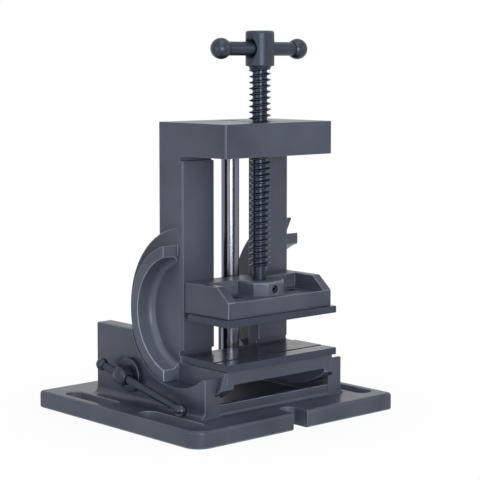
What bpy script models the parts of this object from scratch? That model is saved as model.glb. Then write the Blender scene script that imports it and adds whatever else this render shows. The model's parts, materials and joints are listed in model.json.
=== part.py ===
# Tilting milling vise: a frame casting that tilts in a slotted base casting.
# Frame of reference: metres, X to the right along the jaws, Y towards the back, Z up.
# The origin is the middle of the base's footprint, on the table.
import math

import bmesh
import bpy
from mathutils import Matrix, Vector

mm = 0.001

# Fits and meshing
gap = 0.3 * mm                    # running or seating gap between two pieces
slip = 0.6 * mm                   # wider gap between the tilting frame and the base
overrun = 2.0 * mm                # how far a cut runs past the face that it opens
sink = 0.5 * mm                   # how far joined shapes reach into each other
skin = 0.1 * mm                   # keeps a fillet's end from lying in its neighbour's face
merge_reach = 0.0001 * mm
edge_round = 0.6 * mm             # small broken edge on machined pieces
casting_round = 2.0 * mm          # rounded corner of the castings
round_sides = 28                  # sides of shafts and large holes
small_sides = 16                  # sides of screws, small holes and balls
disc_sides = 64                   # sides of the tilting discs
ball_rows = 8

# Overall layout
jaw_width = 100.0 * mm
base_depth = 174.0 * mm
base_thick = 12.0 * mm
base_front = -base_depth / 2
base_back = base_front + base_depth
bed_set_back = 63.9 * mm
bed_y = base_front + bed_set_back    # front plane of the frame's two rails
ring_outer = 47.6 * mm            # guide ring on each side disc
rim_foot_step = 2.0 * mm
rim_foot_radius = ring_outer + rim_foot_step    # the dovetail starts here
rim_height = 9.0 * mm
rim_radius = rim_foot_radius + rim_height
rim_clearance = 5.4 * mm          # between the discs' rims and the base plate
tilt_lead = 8.0 * mm              # how far the tilt axis lies in front of the bed
tilt_y = bed_y - tilt_lead        # tilt axis, parallel to X
tilt_z = base_thick + rim_clearance + rim_radius
plate_overhang = 1.0 * mm         # how far a jaw plate reaches past the frame's side
frame_half = jaw_width / 2 - plate_overhang
web_step = 0.6 * mm               # the side discs stand a little proud of the rails
web_half = frame_half + web_step
wall_in = web_half + slip

# Base casting
base_corner = 4.0 * mm
base_corner_big = 12.0 * mm       # the front left corner is rounder than the others
base_top_round = 2.2 * mm
base_foot_round = 0.8 * mm
wall_thick = 12.8 * mm
wall_out = wall_in + wall_thick
lug_reach = 28.0 * mm             # how far the plate reaches out past a wall
base_width = 2 * (wall_out + lug_reach)
wall_lead = 39.3 * mm             # how far the walls reach in front of the bed
wall_front = bed_y - wall_lead
wall_set_in = 33.1 * mm           # between the walls' ends and the plate's back edge
wall_back = base_back - wall_set_in
wall_drop = 14.0 * mm             # the walls end below the tilt axis
wall_top = tilt_z - wall_drop
post_height = 25.8 * mm           # the walls' low front posts, above the plate
post_top = base_thick + post_height
foot_fillet = 4.5 * mm            # casting fillet where the walls meet the plate
wall_edge_round = 1.0 * mm
sill_height = 7.6 * mm
sill_thick = 5.5 * mm
slot_width = 13.4 * mm
slot_place_share = 15.0 / 28.0    # where the slots lie on the plate's reach past a wall
slot_x = wall_out + lug_reach * slot_place_share
rear_slot_length = 53.0 * mm
front_slot_length = 59.0 * mm
rear_slot_margin = 20.1 * mm
front_slot_margin = 11.9 * mm
rear_slot_y = base_back - rear_slot_margin - rear_slot_length / 2
front_slot_y = base_front + front_slot_margin + front_slot_length / 2
notch_width = 12.6 * mm
notch_depth = 17.5 * mm

# Tilting frame casting
ring_thick = 7.7 * mm
ring_inner = ring_outer - ring_thick
ring_reach = 12.9 * mm            # how far a ring stands out of its disc
ring_fillet = 5.0 * mm
ring_set_back = 4.0 * mm
ring_cut_y = bed_y + ring_set_back    # both ends of a ring are cut on this plane
cradle_radius = ring_outer + gap
rim_flare = 4.4 * mm              # the dovetail deepens this much outwards
rim_edge = 0.5 * mm
groove_step = 0.5 * mm
web_thick = 7.6 * mm
web_in = web_half - web_thick
web_set_back = 1.8 * mm
web_front_y = bed_y + web_set_back
rail_depth = 11.0 * mm
window_half = 20.7 * mm
flange_depth = 25.5 * mm
block_lead = 43.7 * mm
block_front = bed_y - block_lead
block_rise = 105.6 * mm           # from the tilt axis up to the screw block
block_z = tilt_z + block_rise
block_height = 22.4 * mm
relief_depth = 2.5 * mm
top_relief_height = 3.5 * mm
foot_relief_height = 3.0 * mm
rim_trim = 3.0 * mm
rim_trim_y = wall_front + rim_trim

# Jaws
plate_thick = 4.5 * mm
plate_lead = 47.5 * mm
plate_front = bed_y - plate_lead
plate_depth = 41.0 * mm
opening_at_rest = 24.4 * mm
grip_drop = 29.0 * mm             # the fixed jaw's face lies below the tilt axis
fixed_grip_z = tilt_z - grip_drop
fixed_seat_z = fixed_grip_z - plate_thick - gap
body_lead = 44.8 * mm             # how far both jaw castings reach in front of the bed
fixed_body_front = bed_y - body_lead
fixed_body_half = frame_half - web_step
fixed_body_height = 14.0 * mm
fixed_body_low = fixed_grip_z - fixed_body_height
shoulder_z = fixed_grip_z - gap
saddle_back = 18.0 * mm           # how far the lower cross member reaches behind the bed
saddle_drop = 5.7 * mm            # the window's sill falls away behind the rails' front
saddle_chamfer = 4.0 * mm
plate_groove_width = 3.0 * mm
plate_groove_depth = 1.2 * mm
plate_groove_set = 13.5 * mm      # from the plate's front edge
plate_groove_y = plate_front + plate_groove_set
moving_grip_z = fixed_grip_z + opening_at_rest
moving_seat_z = moving_grip_z + plate_thick + gap
moving_step = 1.6 * mm            # the moving jaw is this much slimmer than the frame
moving_half = frame_half - moving_step
moving_front = bed_y - body_lead
moving_floor_thick = 11.2 * mm
moving_floor_z = moving_seat_z + moving_floor_thick
cheek_rise = 9.5 * mm
moving_top_z = moving_floor_z + cheek_rise
cheek_thick = 7.0 * mm
cheek_slope_length = 11.3 * mm
cheek_slope_y = moving_front + cheek_slope_length
rear_wall_thick = 16.0 * mm
boss_half = 13.8 * mm
boss_set_back = 5.8 * mm          # behind the moving jaw's front
boss_front = moving_front + boss_set_back
boss_chamfer = 6.5 * mm
boss_corner = 1.0 * mm

# Guide behind the moving jaw
tongue_lift = 0.2 * mm            # keeps the tongue above the gripping face
tongue_low = moving_grip_z + tongue_lift
tongue_drop = 2.9 * mm
tongue_high = moving_top_z - tongue_drop
tongue_half = window_half - gap
keeper_thick = 6.0 * mm
keeper_lap = 8.0 * mm             # how far each keeper overlaps its rail
rod_radius = 6.2 * mm
rod_set_back = 6.9 * mm
rod_y = bed_y + rod_set_back
rod_floor = 3.0 * mm              # left under the rod's blind hole
rod_seat_z = fixed_body_low + rod_floor
rod_wall = 4.2 * mm

# Lead screw
screw_lead = 23.3 * mm
screw_y = bed_y - screw_lead
thread_radius = 7.5 * mm
core_radius = 5.0 * mm
thread_pitch = 4.0 * mm
thread_crest_share = 0.16
thread_root_share = 0.48
thread_clearance = 9.1 * mm       # between the moving jaw and the thread's first turn
thread_low_z = moving_top_z + thread_clearance
thread_sides = 16
journal_radius = 4.7 * mm         # a little under the thread's core
journal_neck_radius = 3.3 * mm
journal_neck_height = 4.4 * mm
journal_floor = 3.8 * mm          # left under the journal's blind hole
journal_low_z = moving_seat_z + journal_floor
head_radius = 9.75 * mm
head_stand = 37.5 * mm            # between the block's top and the head
head_low_z = block_z + block_height + head_stand
head_height = 23.8 * mm
head_round = 1.4 * mm
head_cone_height = 2.0 * mm
collar_radius = 7.8 * mm          # closes over the thread's crests
head_sink_radius = 6.6 * mm
head_sink_share = 0.9             # where the sink's rim lies, as a share of the head's radius
nut_radius = 12.0 * mm
bar_rise = 11.7 * mm
bar_z = head_low_z + bar_rise
bar_radius = 4.7 * mm
bar_span = 67.6 * mm              # between the centres of the two balls
bar_end = 3.0 * mm                # how deep a bar end goes into its ball
ball_radius = 7.1 * mm
stop_screw_radius = 2.6 * mm
stop_screw_inset = 1.5 * mm        # below the boss's front face
stop_screw_drop = 5.5 * mm
stop_screw_z = moving_top_z - stop_screw_drop
stop_tip_radius = 1.5 * mm
stop_socket_depth = 3.0 * mm
hex_share = 0.55

# Clamps at the two walls
clamp_shank_radius = 5.0 * mm
clamp_pass = 0.747 * mm           # between a clamp's shank and the disc's rim
clamp_orbit = rim_radius + clamp_shank_radius + clamp_pass
clamp_slant = math.radians(45.0)   # the clamps lie behind and below the tilt axis
clamp_y = tilt_y + clamp_orbit * math.cos(clamp_slant)
clamp_z = tilt_z - clamp_orbit * math.sin(clamp_slant)
clamp_washer_radius = 11.8 * mm
clamp_washer_thick = 3.6 * mm
clamp_head_radius = 6.6 * mm
clamp_head_length = 9.4 * mm
clamp_head_round = 1.8 * mm
clamp_bar_radius = 2.6 * mm
clamp_bar_long = 63.5 * mm        # ball centre to clamp axis, on the long arm
clamp_bar_short = 23.0 * mm
clamp_ball_radius = 4.3 * mm
lever_clearance = 0.781 * mm      # between the long arm's ball and the base plate
clamp_bar_drop = math.asin((clamp_z - base_thick - clamp_ball_radius - lever_clearance)
                           / clamp_bar_long)
clamp_bar_end = 2.0 * mm
dog_thick = 7.0 * mm
dog_half = 8.0 * mm
dog_reach = 10.5 * mm             # how far the dog hooks inwards over the disc's rim
heel_reach = 8.0 * mm

# Small screws
m6_radius = 3.0 * mm
m6_head_radius = 5.0 * mm
m6_head_height = 5.4 * mm
m6_socket_depth = 3.0 * mm
m6_bore_radius = m6_radius + gap
m6_sink_radius = m6_head_radius + gap
plate_screw_x = 26.0 * mm
plate_screw_set = 20.0 * mm       # from the plate's front edge
plate_screw_y = plate_front + plate_screw_set
plate_thread_depth = 3.2 * mm
m5_radius = 2.5 * mm
m5_head_radius = 4.2 * mm
m5_head_height = 4.6 * mm
m5_socket_depth = 2.5 * mm
keeper_screw_grip = 8.0 * mm
keeper_screw_margin = 5.5 * mm
lock_screw_length = 12.0 * mm


# Helpers that make and combine closed meshes

def remove_everything():
    for old in list(bpy.data.objects):
        bpy.data.objects.remove(old)


def paint(name, colour, roughness, metallic):
    finish = bpy.data.materials.new(name)
    finish.use_nodes = True
    shader = finish.node_tree.nodes["Principled BSDF"]
    shader.inputs["Base Color"].default_value = (*colour, 1.0)
    shader.inputs["Roughness"].default_value = roughness
    shader.inputs["Metallic"].default_value = metallic
    return finish


def new_object(name, bm, finish=None):
    bmesh.ops.recalc_face_normals(bm, faces=bm.faces)
    mesh = bpy.data.meshes.new(name)
    bm.to_mesh(mesh)
    bm.free()
    obj = bpy.data.objects.new(name, mesh)
    bpy.context.collection.objects.link(obj)
    if finish:
        mesh.materials.append(finish)
    return obj


def prism(name, outline, axis, low, high, finish=None):
    """Closed prism of a flat outline; the outline's two values are the other two axes in order."""
    index = "XYZ".index(axis)
    bm = bmesh.new()
    ring = []
    for a, b in outline:
        place = [a, b]
        place.insert(index, low)
        ring.append(bm.verts.new(place))
    face = bm.faces.new(ring)
    moved = bmesh.ops.extrude_face_region(bm, geom=[face])
    shift = [0.0, 0.0, 0.0]
    shift[index] = high - low
    top = [item for item in moved["geom"] if isinstance(item, bmesh.types.BMVert)]
    bmesh.ops.translate(bm, verts=top, vec=shift)
    return new_object(name, bm, finish)


def block(name, x_range, y_range, z_range, finish=None, rounding=0.0, round_along=None):
    outline = [(x_range[0], y_range[0]), (x_range[1], y_range[0]),
               (x_range[1], y_range[1]), (x_range[0], y_range[1])]
    obj = prism(name, outline, "Z", z_range[0], z_range[1], finish)
    if rounding:
        round_edges(obj, rounding, along=round_along)
    return obj


def round_edges(obj, width, along=None, where=None, segments=3):
    """Round the edges that run along the named axes and pass the test on their middle."""
    bm = bmesh.new()
    bm.from_mesh(obj.data)
    chosen = []
    for edge in bm.edges:
        line = edge.verts[1].co - edge.verts[0].co
        size = [abs(line.x), abs(line.y), abs(line.z)]
        axis = "XYZ"[size.index(max(size))]
        middle = (edge.verts[0].co + edge.verts[1].co) / 2
        if (along is None or axis in along) and (where is None or where(middle)):
            chosen.append(edge)
    bmesh.ops.bevel(bm, geom=chosen, offset=width, segments=segments, profile=0.5,
                    affect="EDGES", clamp_overlap=True)
    bm.to_mesh(obj.data)
    bm.free()


def turned(name, profile, axis, centre, finish=None, sides=round_sides):
    """Closed solid of revolution; profile points are (radius, place along the axis)."""
    bm = bmesh.new()
    rings = []
    for radius, along in profile:
        if radius == 0.0:
            rings.append([bm.verts.new((0.0, 0.0, along))])
            continue
        ring = []
        for step in range(sides):
            turn = 2 * math.pi * step / sides
            ring.append(bm.verts.new((radius * math.cos(turn), radius * math.sin(turn), along)))
        rings.append(ring)
    for low, high in zip(rings, rings[1:]):
        for step in range(sides):
            after = (step + 1) % sides
            corners = [low[step % len(low)], low[after % len(low)],
                       high[after % len(high)], high[step % len(high)]]
            bm.faces.new(list(dict.fromkeys(corners)))
    for ring, flipped in ((rings[0], True), (rings[-1], False)):
        if len(ring) > 1:
            bm.faces.new(ring[::-1] if flipped else ring)
    turns = {"Z": Matrix.Identity(4), "X": Matrix.Rotation(math.pi / 2, 4, "Y"),
             "Y": Matrix.Rotation(-math.pi / 2, 4, "X")}
    bmesh.ops.transform(bm, matrix=Matrix.Translation(centre) @ turns[axis], verts=bm.verts)
    return new_object(name, bm, finish)


def cylinder(name, radius, axis, centre, low, high, finish=None, sides=round_sides):
    return turned(name, [(radius, low), (radius, high)], axis, centre, finish, sides)


def combine(target, tools, operation):
    """Boolean the tools into the target with the exact solver and keep the plain result."""
    for tool in tools:
        tool.hide_render = True
        tool.display_type = "WIRE"
        step = target.modifiers.new(tool.name, "BOOLEAN")
        step.operation = operation
        step.object = tool
        step.solver = "EXACT"
    evaluated = target.evaluated_get(bpy.context.evaluated_depsgraph_get())
    result = bpy.data.meshes.new_from_object(evaluated)
    target.modifiers.clear()
    target.data = result
    for tool in tools:
        bpy.data.objects.remove(tool)
    return target


def join(target, *tools):
    return combine(target, tools, "UNION")


def cut(target, *tools):
    return combine(target, tools, "DIFFERENCE")


def mirrored(name, source, finish=None):
    """A mirror image of a mesh on the other side of the middle plane."""
    bm = bmesh.new()
    bm.from_mesh(source.data)
    bmesh.ops.scale(bm, vec=(-1.0, 1.0, 1.0), verts=bm.verts)
    return new_object(name, bm, finish)


def turned_about(name, source, y, finish=None):
    """A copy of a mesh turned half round the upright line at the given Y."""
    bm = bmesh.new()
    bm.from_mesh(source.data)
    half_turn = Matrix.Rotation(math.pi, 4, "Z")
    line = Matrix.Translation((0.0, y, 0.0))
    bmesh.ops.transform(bm, matrix=line @ half_turn @ line.inverted(), verts=bm.verts)
    return new_object(name, bm, finish)


def arc(centre, radius, start, stop, steps):
    """Points of an arc in a plane; angles in degrees, counterclockwise."""
    points = []
    for step in range(steps + 1):
        turn = math.radians(start + (stop - start) * step / steps)
        points.append((centre[0] + radius * math.cos(turn), centre[1] + radius * math.sin(turn)))
    return points


def shade(obj, angle=30.0):
    obj.data.shade_smooth()
    obj.data.set_sharp_from_angle(angle=math.radians(angle))
    return obj


def set_origin(obj, place):
    """Put the object's origin on its joint's axis without moving its mesh in the world."""
    obj.data.transform(Matrix.Translation(-Vector(place)))
    obj.location = place
    return obj


# Base casting

def base_plate(finish):
    half = base_width / 2
    back = base_back
    big, small = base_corner_big, base_corner
    outline = arc((-half + big, base_front + big), big, 180, 270, 8)
    outline += arc((half - small, base_front + small), small, 270, 360, 5)
    outline += arc((half - small, back - small), small, 0, 90, 5)
    outline += arc((-half + small, back - small), small, 90, 180, 5)
    plate = prism("base_casting", outline, "Z", 0.0, base_thick, finish)
    middle = base_thick / 2
    round_edges(plate, base_top_round, along="XY", where=lambda place: place.z > middle)
    round_edges(plate, base_foot_round, along="XY", where=lambda place: place.z < sink,
                segments=1)
    return plate


def base_wall():
    """One side wall, from its section in the X and Z plane."""
    low = base_thick - sink
    fillet = foot_fillet
    section = [(wall_in, low), (wall_out + fillet, low)]
    section += arc((wall_out + fillet, base_thick + fillet), fillet, 270, 180, 4)
    section += arc((wall_out - wall_edge_round, wall_top - wall_edge_round),
                   wall_edge_round, 0, 90, 2)
    section += arc((wall_in + wall_edge_round, wall_top - wall_edge_round),
                   wall_edge_round, 90, 180, 2)
    return prism("wall", section, "Y", wall_front, wall_back)


def rim_groove():
    """Ring-shaped cutter for the undercut that the disc's dovetail rim turns in."""
    foot = rim_foot_radius - gap
    top = rim_radius + groove_step
    depth = wall_in + rim_flare
    profile = [(foot - overrun, wall_in - overrun), (top, wall_in - overrun),
               (top, depth), (top - gap, depth), (foot, wall_in),
               (foot - overrun, wall_in - sink)]
    return ring_solid("groove", profile, (0.0, tilt_y, tilt_z))


def ring_solid(name, profile, centre, finish=None):
    """A closed ring about an axis along X; its profile is a closed loop of (radius, x)."""
    bm = bmesh.new()
    loops = []
    for step in range(disc_sides):
        turn = 2 * math.pi * step / disc_sides
        loop = []
        for radius, x in profile:
            place = (x, radius * math.cos(turn), radius * math.sin(turn))
            loop.append(bm.verts.new(Vector(place) + Vector(centre)))
        loops.append(loop)
    count = len(profile)
    for step in range(disc_sides):
        near, far = loops[step], loops[(step + 1) % disc_sides]
        for item in range(count):
            after = (item + 1) % count
            bm.faces.new((near[item], near[after], far[after], far[item]))
    return new_object(name, bm, finish)


def slot_cutter(name, x, y, length, width):
    radius = width / 2
    reach = length / 2 - radius
    outline = arc((x, y + reach), radius, 0, 180, 10) + arc((x, y - reach), radius, 180, 360, 10)
    return prism(name, outline, "Z", -overrun, base_thick + overrun)


def make_base(finish):
    casting = base_plate(finish)
    wall = base_wall()
    other_wall = mirrored("other_wall", wall)
    sill_low = base_thick - sink
    sill_top = base_thick + sill_height
    fillet = foot_fillet / 2
    section = [(wall_front + sill_thick, sill_low), (wall_front + sill_thick, sill_top),
               (wall_front + sink, sill_top)]
    section += arc((wall_front - fillet + sink, base_thick + fillet), fillet, 0, -90, 4)
    section += [(wall_front - fillet + sink, sill_low)]
    sill = prism("sill", section, "X", -wall_in - sink, wall_in + sink)
    join(casting, wall, other_wall, sill)

    reach = wall_out + overrun
    cradle = cylinder("cradle", cradle_radius, "X", (0.0, tilt_y, tilt_z), -reach, reach,
                      sides=disc_sides)
    lead = block("lead", (-reach, reach), (wall_front - overrun, tilt_y),
                 (post_top, wall_top + overrun))
    groove = rim_groove()
    other_groove = mirrored("other_groove", groove)
    bolt_way = cylinder("bolt_way", clamp_shank_radius + gap, "X", (0.0, clamp_y, clamp_z),
                        -reach - foot_fillet, reach + foot_fillet)
    cut(casting, cradle, lead, groove, other_groove, bolt_way)

    slots = []
    for side in (-1, 1):
        slots.append(slot_cutter("rear_slot", side * slot_x, rear_slot_y, rear_slot_length,
                                 slot_width))
        slots.append(slot_cutter("front_slot", side * slot_x, front_slot_y,
                                 front_slot_length, slot_width))
    notch_length = notch_depth + overrun
    slots.append(slot_cutter("notch", 0.0, base_front + notch_depth - notch_length,
                             2 * notch_length, notch_width))
    cut(casting, *slots)
    return shade(casting)


# Tilting frame casting

def side_disc():
    """One side disc with its guide ring and dovetail rim, turned about the tilt axis."""
    centre = (0.0, tilt_y, tilt_z)
    profile = [(rim_radius, web_in), (rim_radius, web_half + rim_flare - rim_edge),
               (rim_radius - rim_edge, web_half + rim_flare), (rim_foot_radius, web_half)]
    disc = turned("disc", profile, "X", centre, sides=disc_sides)
    profile = [(ring_outer, web_half - sink), (ring_outer, web_half + ring_reach),
               (ring_inner, web_half + ring_reach)]
    profile += arc((ring_inner - ring_fillet, web_half + ring_fillet - skin), ring_fillet,
                   0, -90, 4)
    profile += [(ring_inner - ring_fillet, web_half - sink)]
    ring = ring_solid("ring", profile, centre)
    cut(ring, block("ring_front", (web_in, web_half + ring_reach + overrun),
                    (tilt_y - rim_radius, ring_cut_y),
                    (tilt_z - rim_radius, tilt_z + rim_radius)))
    join(disc, ring)

    reach = web_half + ring_reach + overrun
    far = rim_radius + overrun
    upper = block("upper", (web_in - overrun, reach), (tilt_y - far, web_front_y),
                  (fixed_seat_z - sink, tilt_z + far))
    lower = block("lower", (web_in - overrun, reach), (tilt_y - far, fixed_body_front + sink),
                  (tilt_z - far, tilt_z))
    return cut(disc, upper, lower)


def frame_rail():
    """One rail: a flat front plate with a deeper flange along its outer side."""
    outline = [(window_half, bed_y), (frame_half, bed_y), (frame_half, bed_y + flange_depth),
               (web_in, bed_y + flange_depth), (web_in, bed_y + rail_depth),
               (window_half, bed_y + rail_depth)]
    rail = prism("rail", outline, "Z", fixed_body_low + sink, block_z + sink)
    round_edges(rail, casting_round, along="Z",
                where=lambda place: place.x > frame_half - sink)
    return rail


def fixed_jaw_body():
    """The frame's foot: the fixed jaw's seat, its shoulder and the member between the discs."""
    back = bed_y + saddle_back
    shoulder_front = plate_front + plate_depth + gap
    saddle_top = shoulder_z - saddle_drop
    outline = [(fixed_body_front, fixed_body_low), (back - saddle_chamfer, fixed_body_low),
               (back, fixed_body_low + saddle_chamfer), (back, saddle_top),
               (bed_y + rail_depth, saddle_top),
               (bed_y + casting_round, shoulder_z), (shoulder_front, shoulder_z),
               (shoulder_front, fixed_seat_z), (fixed_body_front, fixed_seat_z)]
    return prism("foot", outline, "X", -fixed_body_half, fixed_body_half)


def make_frame(finish):
    casting = block("vise_frame", (-frame_half, frame_half),
                    (block_front, bed_y + flange_depth), (block_z, block_z + block_height),
                    finish)
    round_edges(casting, casting_round, along="Z")
    round_edges(casting, edge_round, along="XY", where=lambda place: place.z > block_z + sink)
    disc = side_disc()
    other_disc = mirrored("other_disc", disc)
    rail = frame_rail()
    other_rail = mirrored("other_rail", rail)
    join(casting, rail, other_rail, fixed_jaw_body(), disc, other_disc)

    wide = frame_half + overrun
    reliefs = []
    for name, low, height in (
            ("top_relief", block_z - top_relief_height, top_relief_height),
            ("foot_relief", shoulder_z, foot_relief_height)):
        reliefs.append(block(name, (-wide, wide), (bed_y - overrun, bed_y + relief_depth),
                             (low, low + height)))
    trim = block("trim", (web_half - gap, web_half + ring_reach),
                 (fixed_body_front - overrun, rim_trim_y), (tilt_z - rim_radius, tilt_z))
    block_top = block_z + block_height
    nut_way = cylinder("nut_way", nut_radius + gap, "Z", (0.0, screw_y, 0.0),
                       block_z - overrun, block_top + overrun)
    rod_way = cylinder("rod_way", rod_radius + gap, "Z", (0.0, rod_y, 0.0),
                       rod_seat_z - gap, block_top + overrun)
    lock_way = cylinder("lock_way", m6_bore_radius, "Y",
                        (0.0, 0.0, block_z + block_height / 2), rod_y,
                        bed_y + flange_depth + overrun, sides=small_sides)
    screw_ways = []
    for side in (-1, 1):
        centre = (side * plate_screw_x, plate_screw_y, 0.0)
        profile = [(m6_sink_radius, fixed_body_low - overrun),
                   (m6_sink_radius, fixed_body_low + m6_head_height),
                   (m6_bore_radius, fixed_body_low + m6_head_height),
                   (m6_bore_radius, fixed_seat_z + overrun)]
        screw_ways.append(turned("screw_way", profile, "Z", centre, sides=small_sides))
    cut(casting, *reliefs, trim, nut_way, rod_way, lock_way, *screw_ways)
    return shade(casting)


# Moving jaw

def make_moving_jaw(finish):
    back = bed_y - gap
    rear_front = bed_y - rear_wall_thick
    slab = block("movable_jaw", (-moving_half, moving_half), (moving_front, back),
                 (moving_seat_z, moving_floor_z), finish)
    drop = moving_top_z - moving_floor_z
    outline = [(back, moving_seat_z + sink), (moving_front, moving_seat_z + sink),
               (moving_front, moving_top_z - drop), (cheek_slope_y, moving_top_z),
               (back, moving_top_z)]
    cheek = prism("cheek", outline, "X", moving_half - cheek_thick, moving_half)
    other_cheek = mirrored("other_cheek", cheek)
    rear = block("rear", (-moving_half + sink, moving_half - sink), (rear_front, back),
                 (moving_seat_z + sink, moving_top_z))
    boss_outline = [(-boss_half, rear_front + sink), (-boss_half, boss_front + boss_chamfer),
                    (-boss_half + boss_chamfer, boss_front),
                    (boss_half - boss_chamfer, boss_front),
                    (boss_half, boss_front + boss_chamfer), (boss_half, rear_front + sink)]
    boss = prism("boss", boss_outline, "Z", moving_seat_z + sink, moving_top_z)
    round_edges(boss, boss_corner, along="XY", segments=1,
                where=lambda place: place.z > moving_floor_z and place.y < rear_front)
    tongue = block("tongue", (-tongue_half, tongue_half), (back - sink, bed_y + rail_depth),
                   (tongue_low, tongue_high))
    spine_half = rod_radius + rod_wall
    spine = block("spine", (-spine_half, spine_half),
                  (bed_y, rod_y + rod_radius + rod_wall), (tongue_low, tongue_high))
    join(slab, cheek, other_cheek, rear, boss, tongue, spine)

    rod_way = cylinder("rod_way", rod_radius + gap, "Z", (0.0, rod_y, 0.0),
                       tongue_low - overrun, moving_top_z + overrun)
    journal_way = cylinder("journal_way", journal_radius + gap, "Z", (0.0, screw_y, 0.0),
                           journal_low_z - gap, moving_top_z + overrun)
    stop_way = cylinder("stop_way", stop_screw_radius + gap, "Y", (0.0, 0.0, stop_screw_z),
                        boss_front - overrun, screw_y)
    ways = [rod_way, journal_way, stop_way]
    for side in (-1, 1):
        centre = (side * plate_screw_x, plate_screw_y, 0.0)
        profile = [(m6_bore_radius, moving_seat_z - overrun),
                   (m6_bore_radius, moving_floor_z - m6_head_height),
                   (m6_sink_radius, moving_floor_z - m6_head_height),
                   (m6_sink_radius, moving_floor_z + overrun)]
        ways.append(turned("screw_way", profile, "Z", centre, sides=small_sides))
    for place in keeper_screw_places():
        ways.append(cylinder("keeper_way", m5_radius + gap, "Y", place,
                             -keeper_screw_grip - gap, gap + overrun, sides=small_sides))
    cut(slab, *ways)
    return shade(slab)


def keeper_screw_places():
    """Where the keeper screws enter the tongue's back face."""
    x = (rod_radius + rod_wall + tongue_half) / 2
    y = bed_y + rail_depth
    margin = keeper_screw_margin
    return [(side * x, y, z) for side in (-1, 1)
            for z in (tongue_low + margin, tongue_high - margin)]


def make_keeper(name, side, finish):
    """A strip behind one rail that keeps the moving jaw on its bed."""
    inner = rod_radius + rod_wall + gap
    outer = window_half + keeper_lap
    low = bed_y + rail_depth + gap
    keeper = block(name, tuple(sorted((side * inner, side * outer))),
                   (low, low + keeper_thick), (tongue_low, tongue_high), finish)
    ways = [cylinder("way", m5_radius + gap, "Y", place, -overrun, keeper_thick + overrun,
                     sides=small_sides)
            for place in keeper_screw_places() if place[0] * side > 0]
    cut(keeper, *ways)
    return shade(keeper)


# Jaw plates and screws

def make_plate(name, low, with_groove, finish):
    """A ground jaw plate with two tapped holes in its back; a groove if asked for."""
    high = low + plate_thick
    half = jaw_width / 2
    plate = block(name, (-half, half), (plate_front, plate_front + plate_depth), (low, high),
                  finish, rounding=edge_round / 2)
    tools = []
    for side in (-1, 1):
        centre = (side * plate_screw_x, plate_screw_y, 0.0)
        if with_groove:
            ends = (low - overrun, low + plate_thread_depth)
        else:
            ends = (high - plate_thread_depth, high + overrun)
        tools.append(cylinder("tapping", m6_radius + gap, "Z", centre, *ends,
                              sides=small_sides))
    if with_groove:
        wide = plate_groove_width / 2
        outline = [(plate_groove_y - wide, high + sink), (plate_groove_y - wide, high),
                   (plate_groove_y, high - plate_groove_depth),
                   (plate_groove_y + wide, high), (plate_groove_y + wide, high + sink)]
        tools.append(prism("groove", outline, "X", -half - overrun, half + overrun))
    cut(plate, *tools)
    return shade(plate)


def socket_cutter(radius, depth, axis, centre, face, direction):
    """A hexagon socket sunk into a screw's end face."""
    low, high = sorted((face - direction * depth, face + direction * overrun))
    return cylinder("socket", radius, axis, centre, low, high, sides=6)


def cap_screw(name, axis, centre, head_face, direction, sizes, length, finish):
    """A socket cap screw; direction is +1 if its head points along the axis."""
    radius, head_radius, head_height, socket_depth = sizes
    bevel = edge_round
    step = -direction
    profile = [(radius, head_face + step * length), (radius, head_face + step * head_height),
               (head_radius, head_face + step * head_height),
               (head_radius, head_face + step * bevel), (head_radius - bevel, head_face)]
    if direction < 0:
        profile = profile[::-1]
    screw = turned(name, profile, axis, centre, finish, sides=small_sides)
    cut(screw, socket_cutter(head_radius * hex_share, socket_depth, axis, centre, head_face,
                             direction))
    return shade(screw)


def make_plate_screws(finish):
    sizes = (m6_radius, m6_head_radius, m6_head_height - gap, m6_socket_depth)
    screws = {}
    for side, word in ((-1, "left"), (1, "right")):
        centre = (side * plate_screw_x, plate_screw_y, 0.0)
        moving_tip = moving_grip_z + plate_thick - plate_thread_depth + gap
        name = "movable_plate_screw_" + word
        screws[name] = cap_screw(name, "Z", centre, moving_floor_z, 1, sizes,
                                 moving_floor_z - moving_tip, finish)
        fixed_tip = fixed_grip_z - plate_thick + plate_thread_depth - gap
        name = "fixed_plate_screw_" + word
        screws[name] = cap_screw(name, "Z", centre, fixed_body_low, -1, sizes,
                                 fixed_tip - fixed_body_low, finish)
    return screws


def make_keeper_screws(finish):
    sizes = (m5_radius, m5_head_radius, m5_head_height, m5_socket_depth)
    screws = {}
    face = keeper_thick + 2 * gap + m5_head_height
    words = ("left_lower", "left_upper", "right_lower", "right_upper")
    for word, place in zip(words, keeper_screw_places()):
        name = "keeper_screw_" + word
        screws[name] = cap_screw(name, "Y", place, face, 1, sizes,
                                 face + keeper_screw_grip, finish)
    return screws


# Lead screw, its nut, stop screw and T handle

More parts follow.
